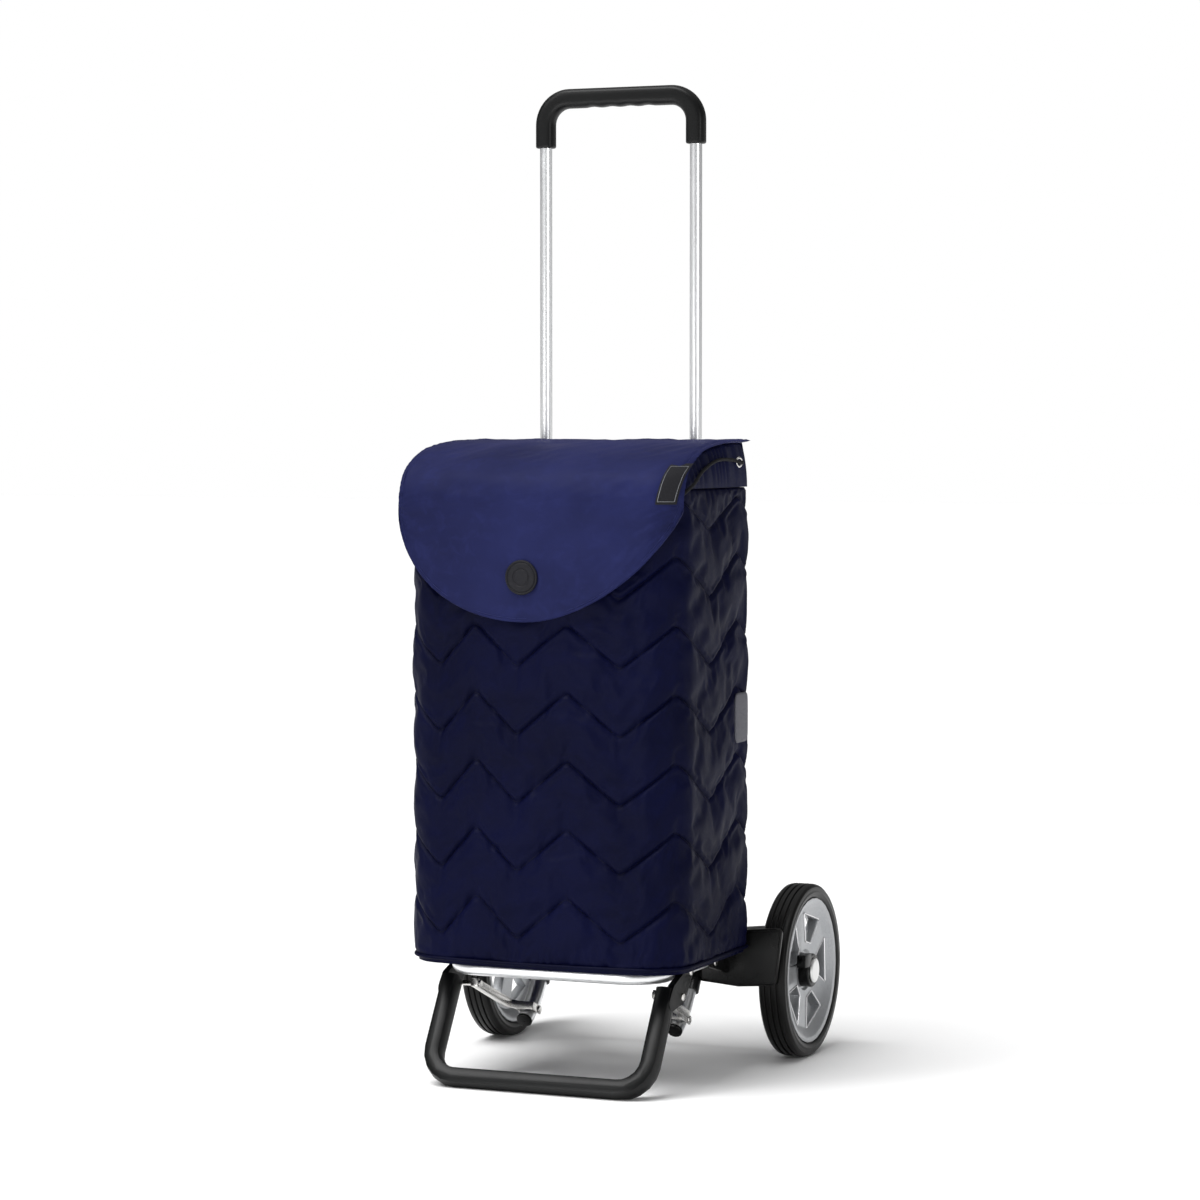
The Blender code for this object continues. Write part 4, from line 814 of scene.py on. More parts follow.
def lid_front(x, z):
    """How far forward the lid's outer surface is at X and Z on its front."""
    profile = lid_profile()
    front = profile[profile[:, 0] < LID_FRONT + 0.05][::-1]
    return np.interp(z, front[:, 1], front[:, 0]) + lid_bow(x)


def lid_seam(margin):
    """The path of a line sewn margin in from the lid's edge, and the way out of the lid along it."""
    profile = lid_profile()
    slope = np.gradient(profile, axis=0)
    slope /= np.linalg.norm(slope, axis=1)[:, None]
    side = LID_HALF - margin
    forward = np.clip((BAG_BACK - profile[:, 0]) / BAG_DEPTH, 0, 1)
    left, right = (
        np.stack([0 * forward + x, profile[:, 0] + lid_bow(x) * forward, profile[:, 1]], -1)
        for x in (-side, side)
    )
    left_out = np.stack([0 * forward, slope[:, 1], -slope[:, 0]], -1)
    angle = np.linspace(-pi / 2, pi / 2, 90)
    x, z = lid_edge(angle, margin)
    keep = z < profile[-1, 1] - 0.002
    x, z = x[keep], z[keep]
    drop = np.stack([x, lid_front(x, z), z], -1)
    drop_out = np.broadcast_to(-Y, drop.shape)
    path = np.concatenate([left, drop, right[::-1]])
    return path, np.concatenate([left_out, drop_out, left_out[::-1]])


def lid_grid():
    """The lid as one closed sheet. Each column runs from the back edge to the hanging front's edge. The
    sheet's thickness falls to nothing at its edges on a quarter circle."""
    profile = lid_profile()
    angle = pi / 2 * np.sin(np.linspace(-pi / 2, pi / 2, 121))
    edge_x, edge_z = lid_edge(angle)
    slope = np.gradient(profile, axis=0)
    slope /= np.linalg.norm(slope, axis=1)[:, None]
    forward = np.clip((BAG_BACK - profile[:, 0]) / BAG_DEPTH, 0, 1)[:, None]
    bow = lid_bow(edge_x)
    x = edge_x - lid_skew(angle) * (1 - forward)
    top = np.stack([x, profile[:, :1] + bow * forward, profile[:, 1:] + 0 * x], -1)
    t = np.concatenate([np.linspace(0, 0.97, 34)[1:], [0.985, 0.994, 1.0]])[:, None]
    last = top[-1]
    drop = np.stack([edge_x + 0 * t, last[:, 1] + 0 * t, last[:, 2] + (edge_z - last[:, 2]) * t], -1)
    face = np.concatenate([top, drop])
    over = np.stack([0 * slope[:, 0], slope[:, 1], -slope[:, 0]], -1)
    out = np.concatenate([over, np.tile(-Y, (len(drop), 1))])
    edge = np.minimum(LID_HALF * (1 - abs(np.sin(angle))) + 0 * face[..., 0], 0.01)
    edge[len(top):] = np.minimum(edge[len(top):], face[len(top):, :, 2] - edge_z)
    edge[:4] = np.minimum(edge[:4], np.linalg.norm(profile[:4] - profile[0], axis=1)[:, None])
    full = np.sqrt(1 - (1 - np.clip(edge / 0.0015, 0, 1)) ** 2)[..., None] * LID_THICKNESS / 2
    seam, _ = lid_seam(0.0042)
    seam = evenly(seam, 420)
    gap = np.sqrt(((face[:, :, None, ::2] - seam[:, ::2]) ** 2).sum(-1) + 1e-12).min(-1)
    run = np.arange(len(face))[:, None] * 0.006
    soft = 0.0007 * ripple(face[..., 0], run, 0.09, 11) + 0.0003 * ripple(face[..., 0], run, 0.03, 12)
    soft = soft * ease(edge, 0, 0.004) - 0.0007 * np.exp(-((gap / 0.0018) ** 2))
    beside = np.exp(-(((gap - 0.004) / 0.002) ** 2))
    soft = soft + 0.0004 * beside * ripple(face[..., 0] + run, run, 0.008, 13)
    centre = face - out[:, None] * (LID_THICKNESS / 2 - soft[..., None])
    outer, inner = centre + out[:, None] * full, centre - out[:, None] * full
    grid = np.concatenate([outer, inner[:, ::-1]], 1)
    grid[:, 0] = grid[:, -1] = (outer[:, 0] + inner[:, 0]) / 2
    return grid, quads(*grid.shape[:2])


# Soft pieces

def make_bag():
    outer, stitched, out = quilted_wall()
    columns = outer.shape[1]
    floor = bag_outline(0.004, columns)
    centre = np.array([0, (BAG_BACK + BAG_FRONT) / 2])
    def flat(outline, z):
        return np.concatenate([outline, np.full((columns, 1), z)], 1)[None]
    under = [flat(centre + (floor - centre) * share, HEM_Z) for share in (0, 0.5, 1)]
    inside = bag_outline(LINING, columns)
    heights = np.linspace(SEAM_Z - 0.0002, HEM_Z + 0.0042, 40)[:, None] + np.zeros((1, columns))
    run = np.linspace(0, GIRTH, columns, endpoint=False)[None, :]
    slack = 0.0007 * ripple(run, heights, 0.08, 8) * ease(heights, SEAM_Z, SEAM_Z - 0.02)
    lining = wall(inside, outline_out(inside), heights, slack - 0.0012)
    over = [flat(centre + (inside - centre) * share, HEM_Z + 0.0042) for share in (0.5, 0)]
    grid = np.concatenate([*under, outer, lining, *over])
    mesh = raw_mesh("quilted_bag", [(grid, quads(*grid.shape[:2]))])
    bag = put("quilted_bag", mesh, "quilt", "frame", ("bag_body",), True, 70)
    threads = []
    sunk = np.concatenate([out, np.zeros((columns, 1))], 1)
    for row in stitched[1:-1]:
        line = np.concatenate([outer[row], outer[row][:1]])
        away = np.concatenate([sunk, sunk[:1]])
        threads.append(stitches(line, away))
    put("quilt_thread", raw_mesh("quilt_thread", threads), "thread", "frame", (), True)


def make_hem():
    """A round piping on the bag's lower edge."""
    radius = (high("hem_piping")[2] - low("hem_piping")[2]) / 2
    z = middle("hem_piping")[2]
    columns = 2 * COLUMNS
    outline = bag_outline(0.0, columns)
    out = outline_out(outline)
    ring = circle(radius, 12)
    run = np.linspace(0, GIRTH, columns, endpoint=False)
    swell = 1 - 0.05 * (1 + ripple(run, 0 * run, 0.02, 21)) / 2
    path = np.concatenate([outline - out * 0.0006, np.full((columns, 1), z)], 1)
    away = np.concatenate([out, np.zeros((columns, 1))], 1)
    grid = path[:, None] + swell[:, None, None] * (ring[:, :1] * away[:, None] + ring[:, 1:] * Z)
    mesh = raw_mesh("hem_piping_cloth", [(grid, quads(*grid.shape[:2], True, True))])
    put("hem_piping_cloth", mesh, "piping", "frame", ("hem_piping",), True)


def make_collar():
    """The drawn-in collar. Its folds deepen with height, on a wall that leans in as the height squared."""
    columns, rows = 2 * COLUMNS, 14
    collar_high = high("bag_collar")
    back_height, front_height = collar_high[2] - SEAM_Z, 0.014
    share = np.linspace(0, 1, rows)[:, None]
    ring = bag_outline(0.0, columns)
    run = outline_run(ring)
    forward = np.clip((BAG_BACK - ring[:, 1]) / BAG_DEPTH, 0, 1)
    loose = ease(forward, 0.05, 0.25)
    phase = run / 0.0155 + 0.55 * ripple(run, 0 * run, 0.09, 31)
    deep = 0.75 + 0.25 * ripple(run, 0 * run, 0.05, 32)
    fold = (abs(np.sin(pi * phase)) ** 0.8 - 0.5) * 0.0048 * deep * loose * share ** 0.8 * (1 - 0.25 * share)
    tall = back_height + (front_height - back_height) * forward ** 2
    height = SEAM_Z + 0.0003 + (tall - 0.0003) * share + 0.0008 * np.sin(2 * pi * phase) * share * loose
    height = np.minimum(height, collar_high[2])

    def layer(inset):
        lean = 0.001 + inset + 0.010 * share ** 2
        grid = wall(ring, outline_out(ring), height, fold - lean)
        back = BAG_BACK - 0.001 - inset
        pull = (back - grid[..., 1].max(1, keepdims=True)) * (1 - forward)
        grid[..., 1] += pull
        return grid

    outer, inner = layer(0.0), layer(0.0016)
    grid = np.concatenate([outer, inner[::-1]])
    mesh = raw_mesh("gathered_collar", [(grid, quads(*grid.shape[:2], True, True))])
    obj = put("gathered_collar", mesh, "collar", "frame", ("bag_collar",), True, 75)


def make_lid():
    grid = lid_grid()
    lid = put("lid_cloth", raw_mesh("lid_cloth", [grid]), "lid", "lid", ("lid_flap",), True, 75)
    path, out = lid_seam(0.0042)
    thread = raw_mesh("lid_topstitch", [stitches(path - out * 0.0006, out)])
    thread = put("lid_topstitch", thread, "topstitch", "lid", (), True)


def make_patch():
    """A round leather patch: a crowned disc in a stitched border, with a plain ring pressed into it."""
    face = high("closure_patch")[1]
    radius = (high("closure_patch")[0] - low("closure_patch")[0]) / 2
    thick = face - low("closure_patch")[1]
    place = middle("closure_patch") * (1, 0, 1)
    profile = [
        (0, 0), (radius - 0.0006, 0), (radius, 0.0006), (radius, thick * 0.6),
        (radius - 0.0007, thick * 0.82),
        (radius - 0.0016, thick * 0.86), (radius - 0.0026, thick * 0.66), (radius - 0.0036, thick * 0.88),
        (radius - 0.0052, thick * 0.97), (0.0104, thick * 0.98), (0.0096, thick * 0.78), (0.0086, thick * 0.78),
        (0.0078, thick * 0.99), (0.004, thick), (0, thick),
    ]
    profile = [(r, face - t) for r, t in profile]
    grid = turned(profile, place, Y, 72, 0.00045, 3)
    mesh = raw_mesh("round_patch", [grid])
    put("round_patch", mesh, "leather", "lid", ("closure_patch",), True, 60)
    angle = np.linspace(0, 2 * pi, 91)[:, None]
    line = place + (radius - 0.0026) * (np.cos(angle) * X + np.sin(angle) * Z) + Y * (face - thick * 0.7)
    thread = raw_mesh("patch_stitching", [stitches(line, np.broadcast_to(-Y, line.shape), 0.003)])
    put("patch_stitching", thread, "cord", "lid", (), True)
    polish("lid_magnet", "steel", "lid", 0.0003, True)
    polish("bag_magnet", "steel", "frame", 0.0003, True)


LABEL_WIDTH = 0.019


def make_label():
    """A woven tab that lies on the lid's front, a little lifted at its free end."""
    box_low, box_high = low("label_tab"), high("label_tab")
    across, up = np.meshgrid(np.linspace(0, LABEL_WIDTH, 20), np.linspace(0, 1, 44))
    tall = 1.02 * (box_high[2] - box_low[2])
    z = box_low[2] + 0.006 + tall * up
    x = box_high[0] + 0.003 - 0.006 * (1 - up) - LABEL_WIDTH + across
    edge = np.minimum(np.minimum(across, LABEL_WIDTH - across), tall * np.minimum(up, 1 - up))
    full = np.sqrt(1 - (1 - np.clip(edge / 0.0012, 0, 1)) ** 2) * 0.0005
    front = lid_front(x, z) - 0.0014 - 0.0002 * ripple(x, z, 0.02, 41)
    outer, inner = np.stack([x, front - full, z], -1), np.stack([x, front + full, z], -1)
    grid = np.concatenate([outer, inner[:, ::-1]], 1)
    mesh = raw_mesh("woven_label", [(grid, quads(*grid.shape[:2]))])
    put("woven_label", mesh, "webbing", "lid", ("label_tab",), True, 60)
    columns, rows = outer.shape[1] - 3, outer.shape[0] - 4
    border = np.concatenate([outer[3:rows, 2], outer[rows, 2:columns], outer[rows:3:-1, columns],
                             outer[3, columns:2:-1]])
    mesh = raw_mesh("label_border", [bead(border, 0.0003, Y)])
    put("label_border", mesh, "label_thread", "lid", (), True)


def cord_route():
    """The drawstring from the cord lock round the right side to the eyelet, and the same on the left."""
    eyelet = middle("right_eyelet")
    lock = middle("cord_lock")
    face = low("right_eyelet")[0] - 0.0014
    corner = BAG_FRONT + FRONT_CORNER
    half_route = np.array([
        (0, lock[1], lock[2]), (0.020, lock[1], lock[2]), (0.060, lock[1] + 0.0015, lock[2] + 0.001),
        (BAG_HALF - 0.052, lock[1] + 0.006, lock[2] + 0.003),
        (BAG_HALF - 0.016, BAG_FRONT + 0.016, lock[2] + 0.006),
        (BAG_HALF + 0.0018, corner - 0.004, SEAM_Z + 0.002),
        (BAG_HALF - 0.0002, corner + 0.036, SEAM_Z + 0.019),
        (BAG_HALF - 0.0010, corner + 0.080, SEAM_Z + 0.030),
        (BAG_HALF - 0.0002, eyelet[1] - 0.032, eyelet[2] + 0.003),
        (BAG_HALF + 0.0035, eyelet[1] - 0.009, eyelet[2] - 0.0006),
        (BAG_HALF + 0.0022, eyelet[1] - 0.0022, eyelet[2]), (face + 0.0022, eyelet[1], eyelet[2]),
        (face, eyelet[1], eyelet[2]), (face - 0.008, eyelet[1], eyelet[2]),
    ])
    flip = np.array([-1, 1, 1])
    return spline(np.concatenate([(half_route * flip)[:0:-1], half_route]), 10)


EYELET_TILT = radians(20)


def make_drawstring():
    path = evenly(cord_route(), 620)
    run = np.arange(620)
    swell = 0.94 + 0.06 * np.sin(run * pi / 1.5) ** 2
    grid = cord_grid(path, 0.002, 12, swell)
    mesh = raw_mesh("drawstring_cord", [grid])
    put("drawstring_cord", mesh, "cord", "frame", ("drawstring",), True)
    for side, s in SIDES:
        centre, box_low, box_high = middle(f"{side}_eyelet"), low(f"{side}_eyelet"), high(f"{side}_eyelet")
        radius, thick = (box_high[2] - box_low[2]) / 2, box_high[0] - box_low[0]
        profile = np.array([
            (0.0040, -thick * 0.5), (0.0037, 0), (0.0042, thick * 0.42), (0.0049, thick * 0.5),
            (radius - 0.0010, thick * 0.2), (radius, -thick * 0.3), (radius - 0.0004, -thick * 0.5),
            (0.0040, -thick * 0.5),
        ])
        profile[:, 1] *= s
        points, faces = turned(profile, centre, X, 40, 0.0002, 3)
        away = points - centre
        tilt = -s * EYELET_TILT
        x, y, z = away[..., 0], away[..., 1], away[..., 2]
        leaned = np.stack([x * cos(tilt) - y * sin(tilt), x * sin(tilt) + y * cos(tilt), z], -1)
        name = f"{side}_eyelet_ring"
        mesh = raw_mesh(name, [(leaned + centre, faces)])
        put(name, mesh, "steel", "frame", (f"{side}_eyelet",), True)
    polish("cord_lock", "plastic", "frame", 0.0008, True, segments=3)
    polish("cord_lock_plunger", "plastic", "plunger", 0.0005, True, segments=3)


def make_reflectors():
    """Reflective patches on the bag's sides, with a stitched border."""
    for side, s in SIDES:
        name = f"{side}_reflector"
        box_low, box_high = low(name), high(name)
        face = s * max(abs(box_low[0]), abs(box_high[0]))
        centre = (box_low + box_high) / 2
        half_y, half_z = (box_high - box_low)[1:] / 2
        ring = squarish(1, 1, 7, 72)
        steps = [(0, 0.0002), (0.5, 0.0002), (0.9, 0.0001), (0.985, -0.0002), (1.0, -0.0007), (0.99, -0.0016)]
        rows = []
        for share, lift in [(0.0, -0.0016)] + steps[::-1]:
            y, z = centre[1] + ring[:, 0] * half_y * share, centre[2] + ring[:, 1] * half_z * share
            rows.append(np.stack([face + s * lift + 0 * y, y, z], -1))
        grid = np.array(rows)
        piece = f"{side}_reflective_patch"
        mesh = raw_mesh(piece, [(grid, quads(*grid.shape[:2]))])
        put(piece, mesh, "reflective", "frame", (name,), True, 50)


# Hard pieces

def belt(discs, steps=7):
    """The outline that a string round discs (a, b, radius) would take. They are in anticlockwise order."""
    discs = np.array(discs)
    along = np.roll(discs[:, :2], -1, 0) - discs[:, :2]
    facing = np.arctan2(-along[:, 0], along[:, 1])
    start = np.roll(facing, 1)
    angle = start[:, None] + ((facing - start) % (2 * pi))[:, None] * np.linspace(0, 1, steps)
    arcs = discs[:, None, :2] + discs[:, None, 2:] * np.stack([np.cos(angle), np.sin(angle)], -1)
    return arcs.reshape(-1, 2)


def bead(path, radius, normal, count=10):
    """A round bead along a closed path, half sunk in the face that it lies on."""
    path = evenly(path, 180, True)
    along = np.roll(path, -1, 0) - np.roll(path, 1, 0)
    along /= np.linalg.norm(along, axis=1)[:, None]
    side = np.cross(along, normal)
    ring = circle(radius, count)
    grid = path[:, None] + ring[:, :1] * side[:, None] + ring[:, 1:] * np.asarray(normal)
    return grid, quads(*grid.shape[:2], True, True)


RIM_TURN = radians(14.5)
WINDOW_CORNERS = ((0.034, -13), (0.0665, -22), (0.0665, 22), (0.034, 13))


def rim_beads(centre, s):
    """Raised edges round the five windows of a wheel centre, on its shallow cone."""
    grids = []
    for k in range(5):
        discs = []
        for radius, angle in WINDOW_CORNERS:
            turn = 2 * pi * k / 5 + RIM_TURN + radians(angle)
            discs.append((radius * sin(turn), radius * cos(turn), 0.0012))
        outline = belt(discs[::-1])
        away = np.linalg.norm(outline, axis=1)
        height = s * (0.0061 + 0.002 * (away - 0.024) / 0.046)
        path = centre + np.stack([height, outline[:, 0], outline[:, 1]], -1)
        grids.append(bead(path, 0.0009, X))
    return raw_mesh("rim_beads", grids)


def make_wheels():
    """Tyres with three grooves round the tread, silver centres, bright caps and black release collars."""
    for side, s in SIDES:
        body = f"{side}_wheel"
        centre = middle(f"{side}_tyre")
        box_low, box_high = low(f"{side}_tyre"), high(f"{side}_tyre")
        radius, half = (box_high[2] - box_low[2]) / 2, (box_high[0] - box_low[0]) / 2
        seat = 0.0838
        side_wall = [(seat, half - 0.0030), (seat + 0.0022, half - 0.0012), (seat + 0.0062, half - 0.0001),
                     (seat + 0.0085, half - 0.0006), (seat + 0.0105, half - 0.0006),
                     (radius - 0.0035, half - 0.0008),
                     (radius - 0.0011, half - 0.0030), (radius - 0.0002, half - 0.0058)]
        tread = []
        for groove in (0.0070, 0.0, -0.0070):
            steps = ((0, 0.0016), (0.0002, 0.0012), (0.0020, 0.0008))
            tread += [(radius - depth, groove + off) for depth, off in steps]
            tread += [(radius - depth, groove - off) for depth, off in steps[::-1]]
        profile = side_wall + tread + [(r, -a) for r, a in side_wall[::-1]]
        profile = profile + [profile[0]]
        grid = turned(profile, centre, X, 144, 0.0003, 2)
        name = f"{side}_tyre_rubber"
        put(name, raw_mesh(name, [grid]), "rubber", body, (f"{side}_tyre",), angle=45)
        polish(f"{side}_rim", "rim", body, 0.0008, segments=2)
        # Real raised lips round the windows. Their bright metal colour is partly a painted highlight.
        put(f"{side}_rim_edges", rim_beads(centre, s), "rim_edge", body, ())
        polish(f"{side}_release_collar", "plastic", f"{side}_release", 0.0007, segments=2)
        cap_low, cap_high = low(f"{side}_hub_cap"), high(f"{side}_hub_cap")
        cap_radius = (cap_high[2] - cap_low[2]) / 2
        start, end = (cap_low[0], cap_high[0]) if s > 0 else (cap_high[0], cap_low[0])
        middle_x = centre[0]
        profile = [
            (0, start - middle_x), (cap_radius, start - middle_x),
            (cap_radius, end - middle_x - s * 0.0012),
            (cap_radius - 0.0011, end - middle_x - s * 0.0003),
            (cap_radius - 0.0022, end - middle_x - s * 0.0005),
            (cap_radius - 0.0030, end - middle_x), (0, end - middle_x),
        ]
        grid = turned(profile, centre, X, 72, 0.0003, 3)
        name = f"{side}_hub_cap_finish"
        put(name, raw_mesh(name, [grid]), "cap", f"{side}_release", (f"{side}_hub_cap",))


def frame_route():
    """The frame tube's centre line in Y and Z: straight down, then 60 degrees of a bend forward."""
    top, radius = high("left_frame_tube")[2], 0.127
    start = POST_Y
    angle = np.radians(np.linspace(0, 60, 25))
    return np.concatenate([
        [(start, top), (start, 0.50), (start, 0.30), (start, 0.17)],
        np.stack([start - radius * (1 - np.cos(angle)), 0.158 - radius * np.sin(angle)], -1),
    ])


def make_frame_tubes():
    route = frame_route()
    for side, s in SIDES:
        path = np.concatenate([np.full((len(route), 1), s * POST_X), route], 1)
        radius = (high(f"{side}_frame_tube")[0] - low(f"{side}_frame_tube")[0]) / 2
        name = f"{side}_frame_tube_finish"
        mesh = raw_mesh(name, [pipe(path, radius, 0.0012, X, 36)])
        put(name, mesh, "tube", "frame", (f"{side}_frame_tube",))
        for node, bevel in (("tube_plug", 0.0006), ("guide_bush", 0.0003), ("hanger_loop", 0.0005)):
            soft_look = "webbing" if node == "hanger_loop" else "plastic"
            polish(f"{side}_{node}", soft_look, "frame", bevel)


GRIP_HALF_Y, GRIP_HALF, GRIP_BORE, HANDLE_CORNER = 0.01075, 0.01125, 0.0073, 0.030


def handle_route(low_z, steps=12):
    top = high("handle_grip")[2] - GRIP_HALF
    points = [(x, POST_Y, z) for x, z in ((-POST_X, low_z), (-POST_X, top), (POST_X, top), (POST_X, low_z))]
    return rounded(points, (HANDLE_CORNER, HANDLE_CORNER), steps)


def make_handle():
    """The sliding tube and its moulded grip, whose underside has four shallow waves for the fingers."""
    tube_low = low("handle_tube")[2]
    mesh = raw_mesh("handle_tube_finish", [pipe(handle_route(tube_low), 0.007, 0.001, Y, 32)])
    put("handle_tube_finish", mesh, "tube", "handle", ("handle_tube",))
    grip_low = low("handle_grip")[2]
    route = handle_route(grip_low, 14)
    legs = np.linspace(0, 1, 9)[1:-1, None]
    left = route[0] + (route[1] - route[0]) * legs
    right = route[-2] + (route[-1] - route[-2]) * legs
    bar = route[15] + (route[16] - route[15]) * np.linspace(0, 1, 60)[1:-1, None]
    path = np.concatenate([route[:1], left, route[1:16], bar, route[16:-1], right, route[-1:]])
    base = squarish(GRIP_HALF_Y, GRIP_HALF, 2.5, 32)
    wave = 0.0011 * (0.5 - 0.5 * np.cos(2 * pi * (path[:, 0] + 0.045) / 0.0225)) * (abs(path[:, 0]) < 0.0451)
    outline = np.broadcast_to(base, (len(path), *base.shape)).copy()
    under = carried(path, base, Y)
    lower = under[len(path) // 2, :, 2] < path[len(path) // 2, 2]
    outline[:, lower, 1] *= 1 - wave[:, None] / GRIP_HALF
    flat, deep = -GRIP_HALF_Y * 0.86, outline[..., 0]
    outline[..., 0] = np.where(deep < flat, flat + (deep - flat) * 0.3, deep)
    outer = carried(path, outline, Y)
    turn = np.arange(32) * 2 * pi / 32 + pi / 32
    bore = carried(path, GRIP_BORE * np.stack([np.cos(turn), np.sin(turn)], -1), Y)
    steps = ((0.86, 0.0), (0.95, 0.0005), (1.0, 0.0018))
    lips = [[path[k] + (outer[k] - path[k]) * share + Z * lift for share, lift in steps] for k in (0, -1)]
    grid = np.concatenate([lips[0], outer[1:-1], lips[1][::-1], bore[::-1]])
    mesh = raw_mesh("handle_grip_finish", [(grid, quads(*grid.shape[:2], True, True))])
    put("handle_grip_finish", mesh, "grip", "handle", ("handle_grip",), angle=50)
    polish("upper_bridge", "plastic", "frame", 0.0010, segments=3)
    polish("height_button", "plastic", "button", 0.0004)


def make_shelf():
    box_low, box_high = low("shelf_tube"), high("shelf_tube")
    z = middle("shelf_tube")[2]
    radius = (box_high[2] - box_low[2]) / 2
    half, front, back = box_high[0] - radius, box_low[1] + radius, box_high[1]
    corners = [(-half, back, z), (-half, front, z), (half, front, z), (half, back, z)]
    route = rounded(corners, (0.04, 0.04), 14)
    mesh = raw_mesh("shelf_tube_finish", [pipe(route, radius, 0.0012, Z, 30)])
    put("shelf_tube_finish", mesh, "shelf_tube", "shelf", ("shelf_tube",))


def make_foot():
    polish("foot_loop", "foot", "foot", 0.0012, segments=3)
    for side, _ in SIDES:
        polish(f"{side}_foot_hinge_pin", "steel", "foot", 0.0003)
        polish(f"{side}_foot_rivet", "steel", "foot", 0.0003)
        polish(f"{side}_link", "steel", f"{side}_link_body", 0.0004)
        polish(f"{side}_link_eye_pin", "steel", f"{side}_link_body", 0.0003)
        polish(f"{side}_link_rivet", "steel", "frame", 0.0003)


WING = ((0.150, 0.052, 0.0045), (0.104, 0.036, 0.0035), (0.104, 0.002, 0.0035), (0.150, -0.003, 0.0025),
        (0.190, 0.002, 0.0045), (0.1965, 0.056, 0.0045))
WING_AHEAD = 0.1064


def make_housings():
    """The moulded housings. A bead runs round the face of each one's plate in front of the tyre."""
    for side, s in SIDES:
        outline = belt(WING) * (s, 1)
        path = np.stack([outline[:, 0], 0 * outline[:, 0] + AXLE_Y - WING_AHEAD, AXLE_Z + outline[:, 1]], -1)
        mesh = raw_mesh(f"{side}_housing_bead", [bead(path, 0.0011, Y)])
        put(f"{side}_housing_bead", mesh, "plastic", "frame", ())
        polish(f"{side}_axle_housing", "plastic", "frame", 0.0010, segments=3)
        polish(f"{side}_shelf_pin", "steel", "frame", 0.0003)


def finish_plain_nodes():
    """Materials for the CAD nodes that stay as they are."""
    looks = {"cross_axle": "steel", "base_board": "board"}
    for side, _ in SIDES:
        looks.update({
            f"{side}_axle_washer": "steel", f"{side}_hub_bush": "plastic", f"{side}_handle_glide": "plastic",
        })
    for node, look in looks.items():
        for material_slot in frame["nodes"][node].material_slots:
            material_slot.material = LOOKS[look]


# Stage

def area_light(name, place, target, size, energy, colour=(1, 1, 1)):
    light = bpy.data.lights.new(name, "AREA")
    light.shape, light.size, light.energy, light.color = "DISK", size, energy, colour
    obj = bpy.data.objects.new(name, light)
    bpy.context.scene.collection.objects.link(obj)
    obj.location = place
    obj.rotation_euler = (Vector(target) - Vector(place)).to_track_quat("-Z", "Y").to_euler()


def make_stage():
    """A pale floor that curves up far behind, a camera and soft lights."""
    camera = bpy.data.cameras.new("camera")
    camera.lens, camera.sensor_width = 107.18, 36
    obj = bpy.data.objects.new("camera", camera)
    bpy.context.scene.collection.objects.link(obj)
    obj.location = (1.5720, -3.7653, 0.7257)
    obj.rotation_euler = (radians(90 - 2.72), 0, radians(22.81))
    bpy.context.scene.camera = obj
    finish = Finish("Pale floor", roughness=0.6, base_color=(0.93, 0.93, 0.93))
    cloudy = finish.noise(1.5, 2.0)
    finish.feed(base_color=finish.mix(cloudy, (0.92, 0.92, 0.92), (0.94, 0.94, 0.94)))
    LOOKS["floor"] = finish.material
    mesh = bpy.data.meshes.new("floor")
    mesh.from_pydata([(-30, -30, 0), (30, -30, 0), (30, 30, 0), (-30, 30, 0)], [], [(0, 1, 2, 3)])
    mesh.materials.append(LOOKS["floor"])
    floor = bpy.data.objects.new("floor", mesh)
    bpy.context.scene.collection.objects.link(floor)
    world = bpy.data.worlds.new("studio")
    world.use_nodes = True
    tree = world.node_tree
    background = tree.nodes["Background"]
    background.inputs["Strength"].default_value = 1.0
    place = tree.nodes.new("ShaderNodeTexCoord")
    split = tree.nodes.new("ShaderNodeSeparateXYZ")
    tree.links.new(place.outputs["Generated"], split.inputs[0])
    sky = tree.nodes.new("ShaderNodeValToRGB")
    greys = ((0.0, 0.50), (0.25, 0.16), (0.6, 0.26), (1.0, 0.9))
    for stop, (position, grey) in zip((0, 1, None, None), greys):
        elements = sky.color_ramp.elements
        element = elements.new(position) if stop is None else elements[stop]
        element.position, element.color = position, (grey, grey, grey, 1)
    tree.links.new(split.outputs["Z"], sky.inputs[0])
    seen = tree.nodes.new("ShaderNodeLightPath")
    mix = tree.nodes.new("ShaderNodeMix")
    mix.data_type = "RGBA"
    mix.inputs[7].default_value = (1, 1, 1, 1)
    tree.links.new(seen.outputs["Is Camera Ray"], mix.inputs[0])
    tree.links.new(sky.outputs[0], mix.inputs[6])
    tree.links.new(mix.outputs[2], background.inputs["Color"])
    bpy.context.scene.world = world
    sun = bpy.data.lights.new("soft_sun", "SUN")
    sun.energy, sun.angle = 3.0, radians(40)
    obj = bpy.data.objects.new("soft_sun", sun)
    bpy.context.scene.collection.objects.link(obj)
    obj.rotation_euler = Vector((0.28, 0.42, -1.0)).to_track_quat("-Z", "Y").to_euler()
    area_light("key", (-1.9, -2.6, 2.5), (0, 0, 0.5), 1.0, 26)
    area_light("low", (-0.6, -2.4, 0.25), (0, 0, 0.13), 0.8, 14)
    area_light("side", (2.7, -1.6, 1.3), (0, 0, 0.45), 0.7, 16)
    bpy.context.scene.view_settings.view_transform = "Standard"


# Operators

def operator(name, label, text, *makers):
    """An operator class whose execute calls the makers."""
    def execute(self, context):
        for maker in makers:
            maker()
        return {"FINISHED"}
    contents = {"bl_idname": f"trolley.{name}", "bl_label": label, "__doc__": text, "execute": execute}
    return type(f"TROLLEY_OT_{name}", (bpy.types.Operator,), contents)


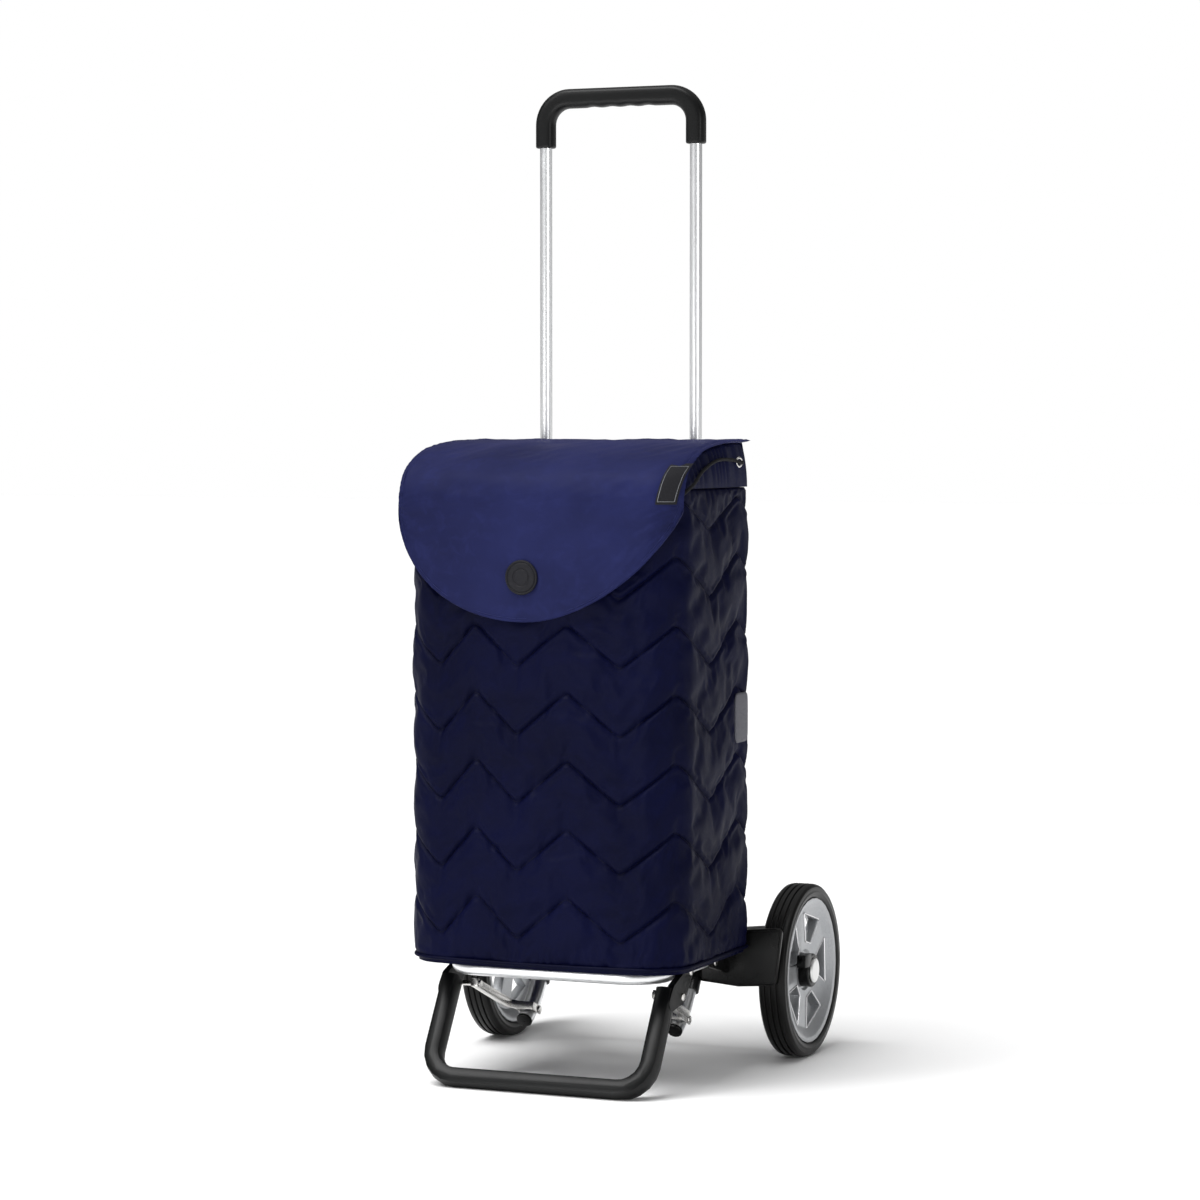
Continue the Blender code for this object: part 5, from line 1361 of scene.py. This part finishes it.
OPERATORS = [
    operator("stage", "Stage", "Makes the floor, the camera and the lights", make_stage),
    operator("finishes", "Finishes", "Makes the materials", make_looks),
    operator("bag", "Quilted bag", "Makes the quilted bag and its hem", make_bag, make_hem),
    operator("collar", "Collar", "Makes the gathered collar", make_collar),
    operator("lid", "Lid", "Makes the lid with its patch and label", make_lid, make_patch, make_label),
    operator("drawstring", "Drawstring", "Makes the drawstring, its eyelets and its lock", make_drawstring),
    operator("reflectors", "Reflectors", "Makes the reflective patches", make_reflectors),
    operator("wheels", "Wheels", "Makes the tyres, the wheel centres and their hubs", make_wheels),
    operator("frame_tubes", "Frame tubes", "Makes the two frame tubes with their ends", make_frame_tubes),
    operator("handle", "Handle", "Makes the sliding handle and its grip", make_handle),
    operator("housings", "Housings", "Makes the moulded housings on the axle", make_housings),
    operator("shelf", "Shelf and foot", "Makes the shelf, the foot and their links", make_shelf, make_foot),
    operator("plain", "Plain parts", "Gives the remaining parts their finish", finish_plain_nodes),
]


class TROLLEY_PT_panel(bpy.types.Panel):
    """The buttons for the pieces, in the order in which they are made."""

    bl_label = "Shopping Trolley"
    bl_space_type = "VIEW_3D"
    bl_region_type = "UI"
    bl_category = "Trolley"

    def draw(self, context):
        for prop in ("quilt_puff", "zigzag_height", "row_spacing", "thread", "cloth_frames"):
            self.layout.prop(context.scene.trolley_shape, prop)
        for prop in ("quilt", "lid", "aluminium", "plastic", "rubber", "rim"):
            self.layout.prop(context.scene.trolley_colours, prop)
        for item in OPERATORS:
            self.layout.operator(item.bl_idname)


CLASSES = [TrolleyShape, TrolleyColours, *OPERATORS, TROLLEY_PT_panel]


def register():
    for item in CLASSES:
        bpy.utils.register_class(item)
    bpy.types.Scene.trolley_shape = PointerProperty(type=TrolleyShape)
    bpy.types.Scene.trolley_colours = PointerProperty(type=TrolleyColours)


def unregister():
    del bpy.types.Scene.trolley_shape, bpy.types.Scene.trolley_colours
    for item in reversed(CLASSES):
        bpy.utils.unregister_class(item)


def main():
    register()
    for item in OPERATORS:
        getattr(bpy.ops.trolley, item.bl_idname.split(".")[1])()


if __name__ == "__main__":
    main()
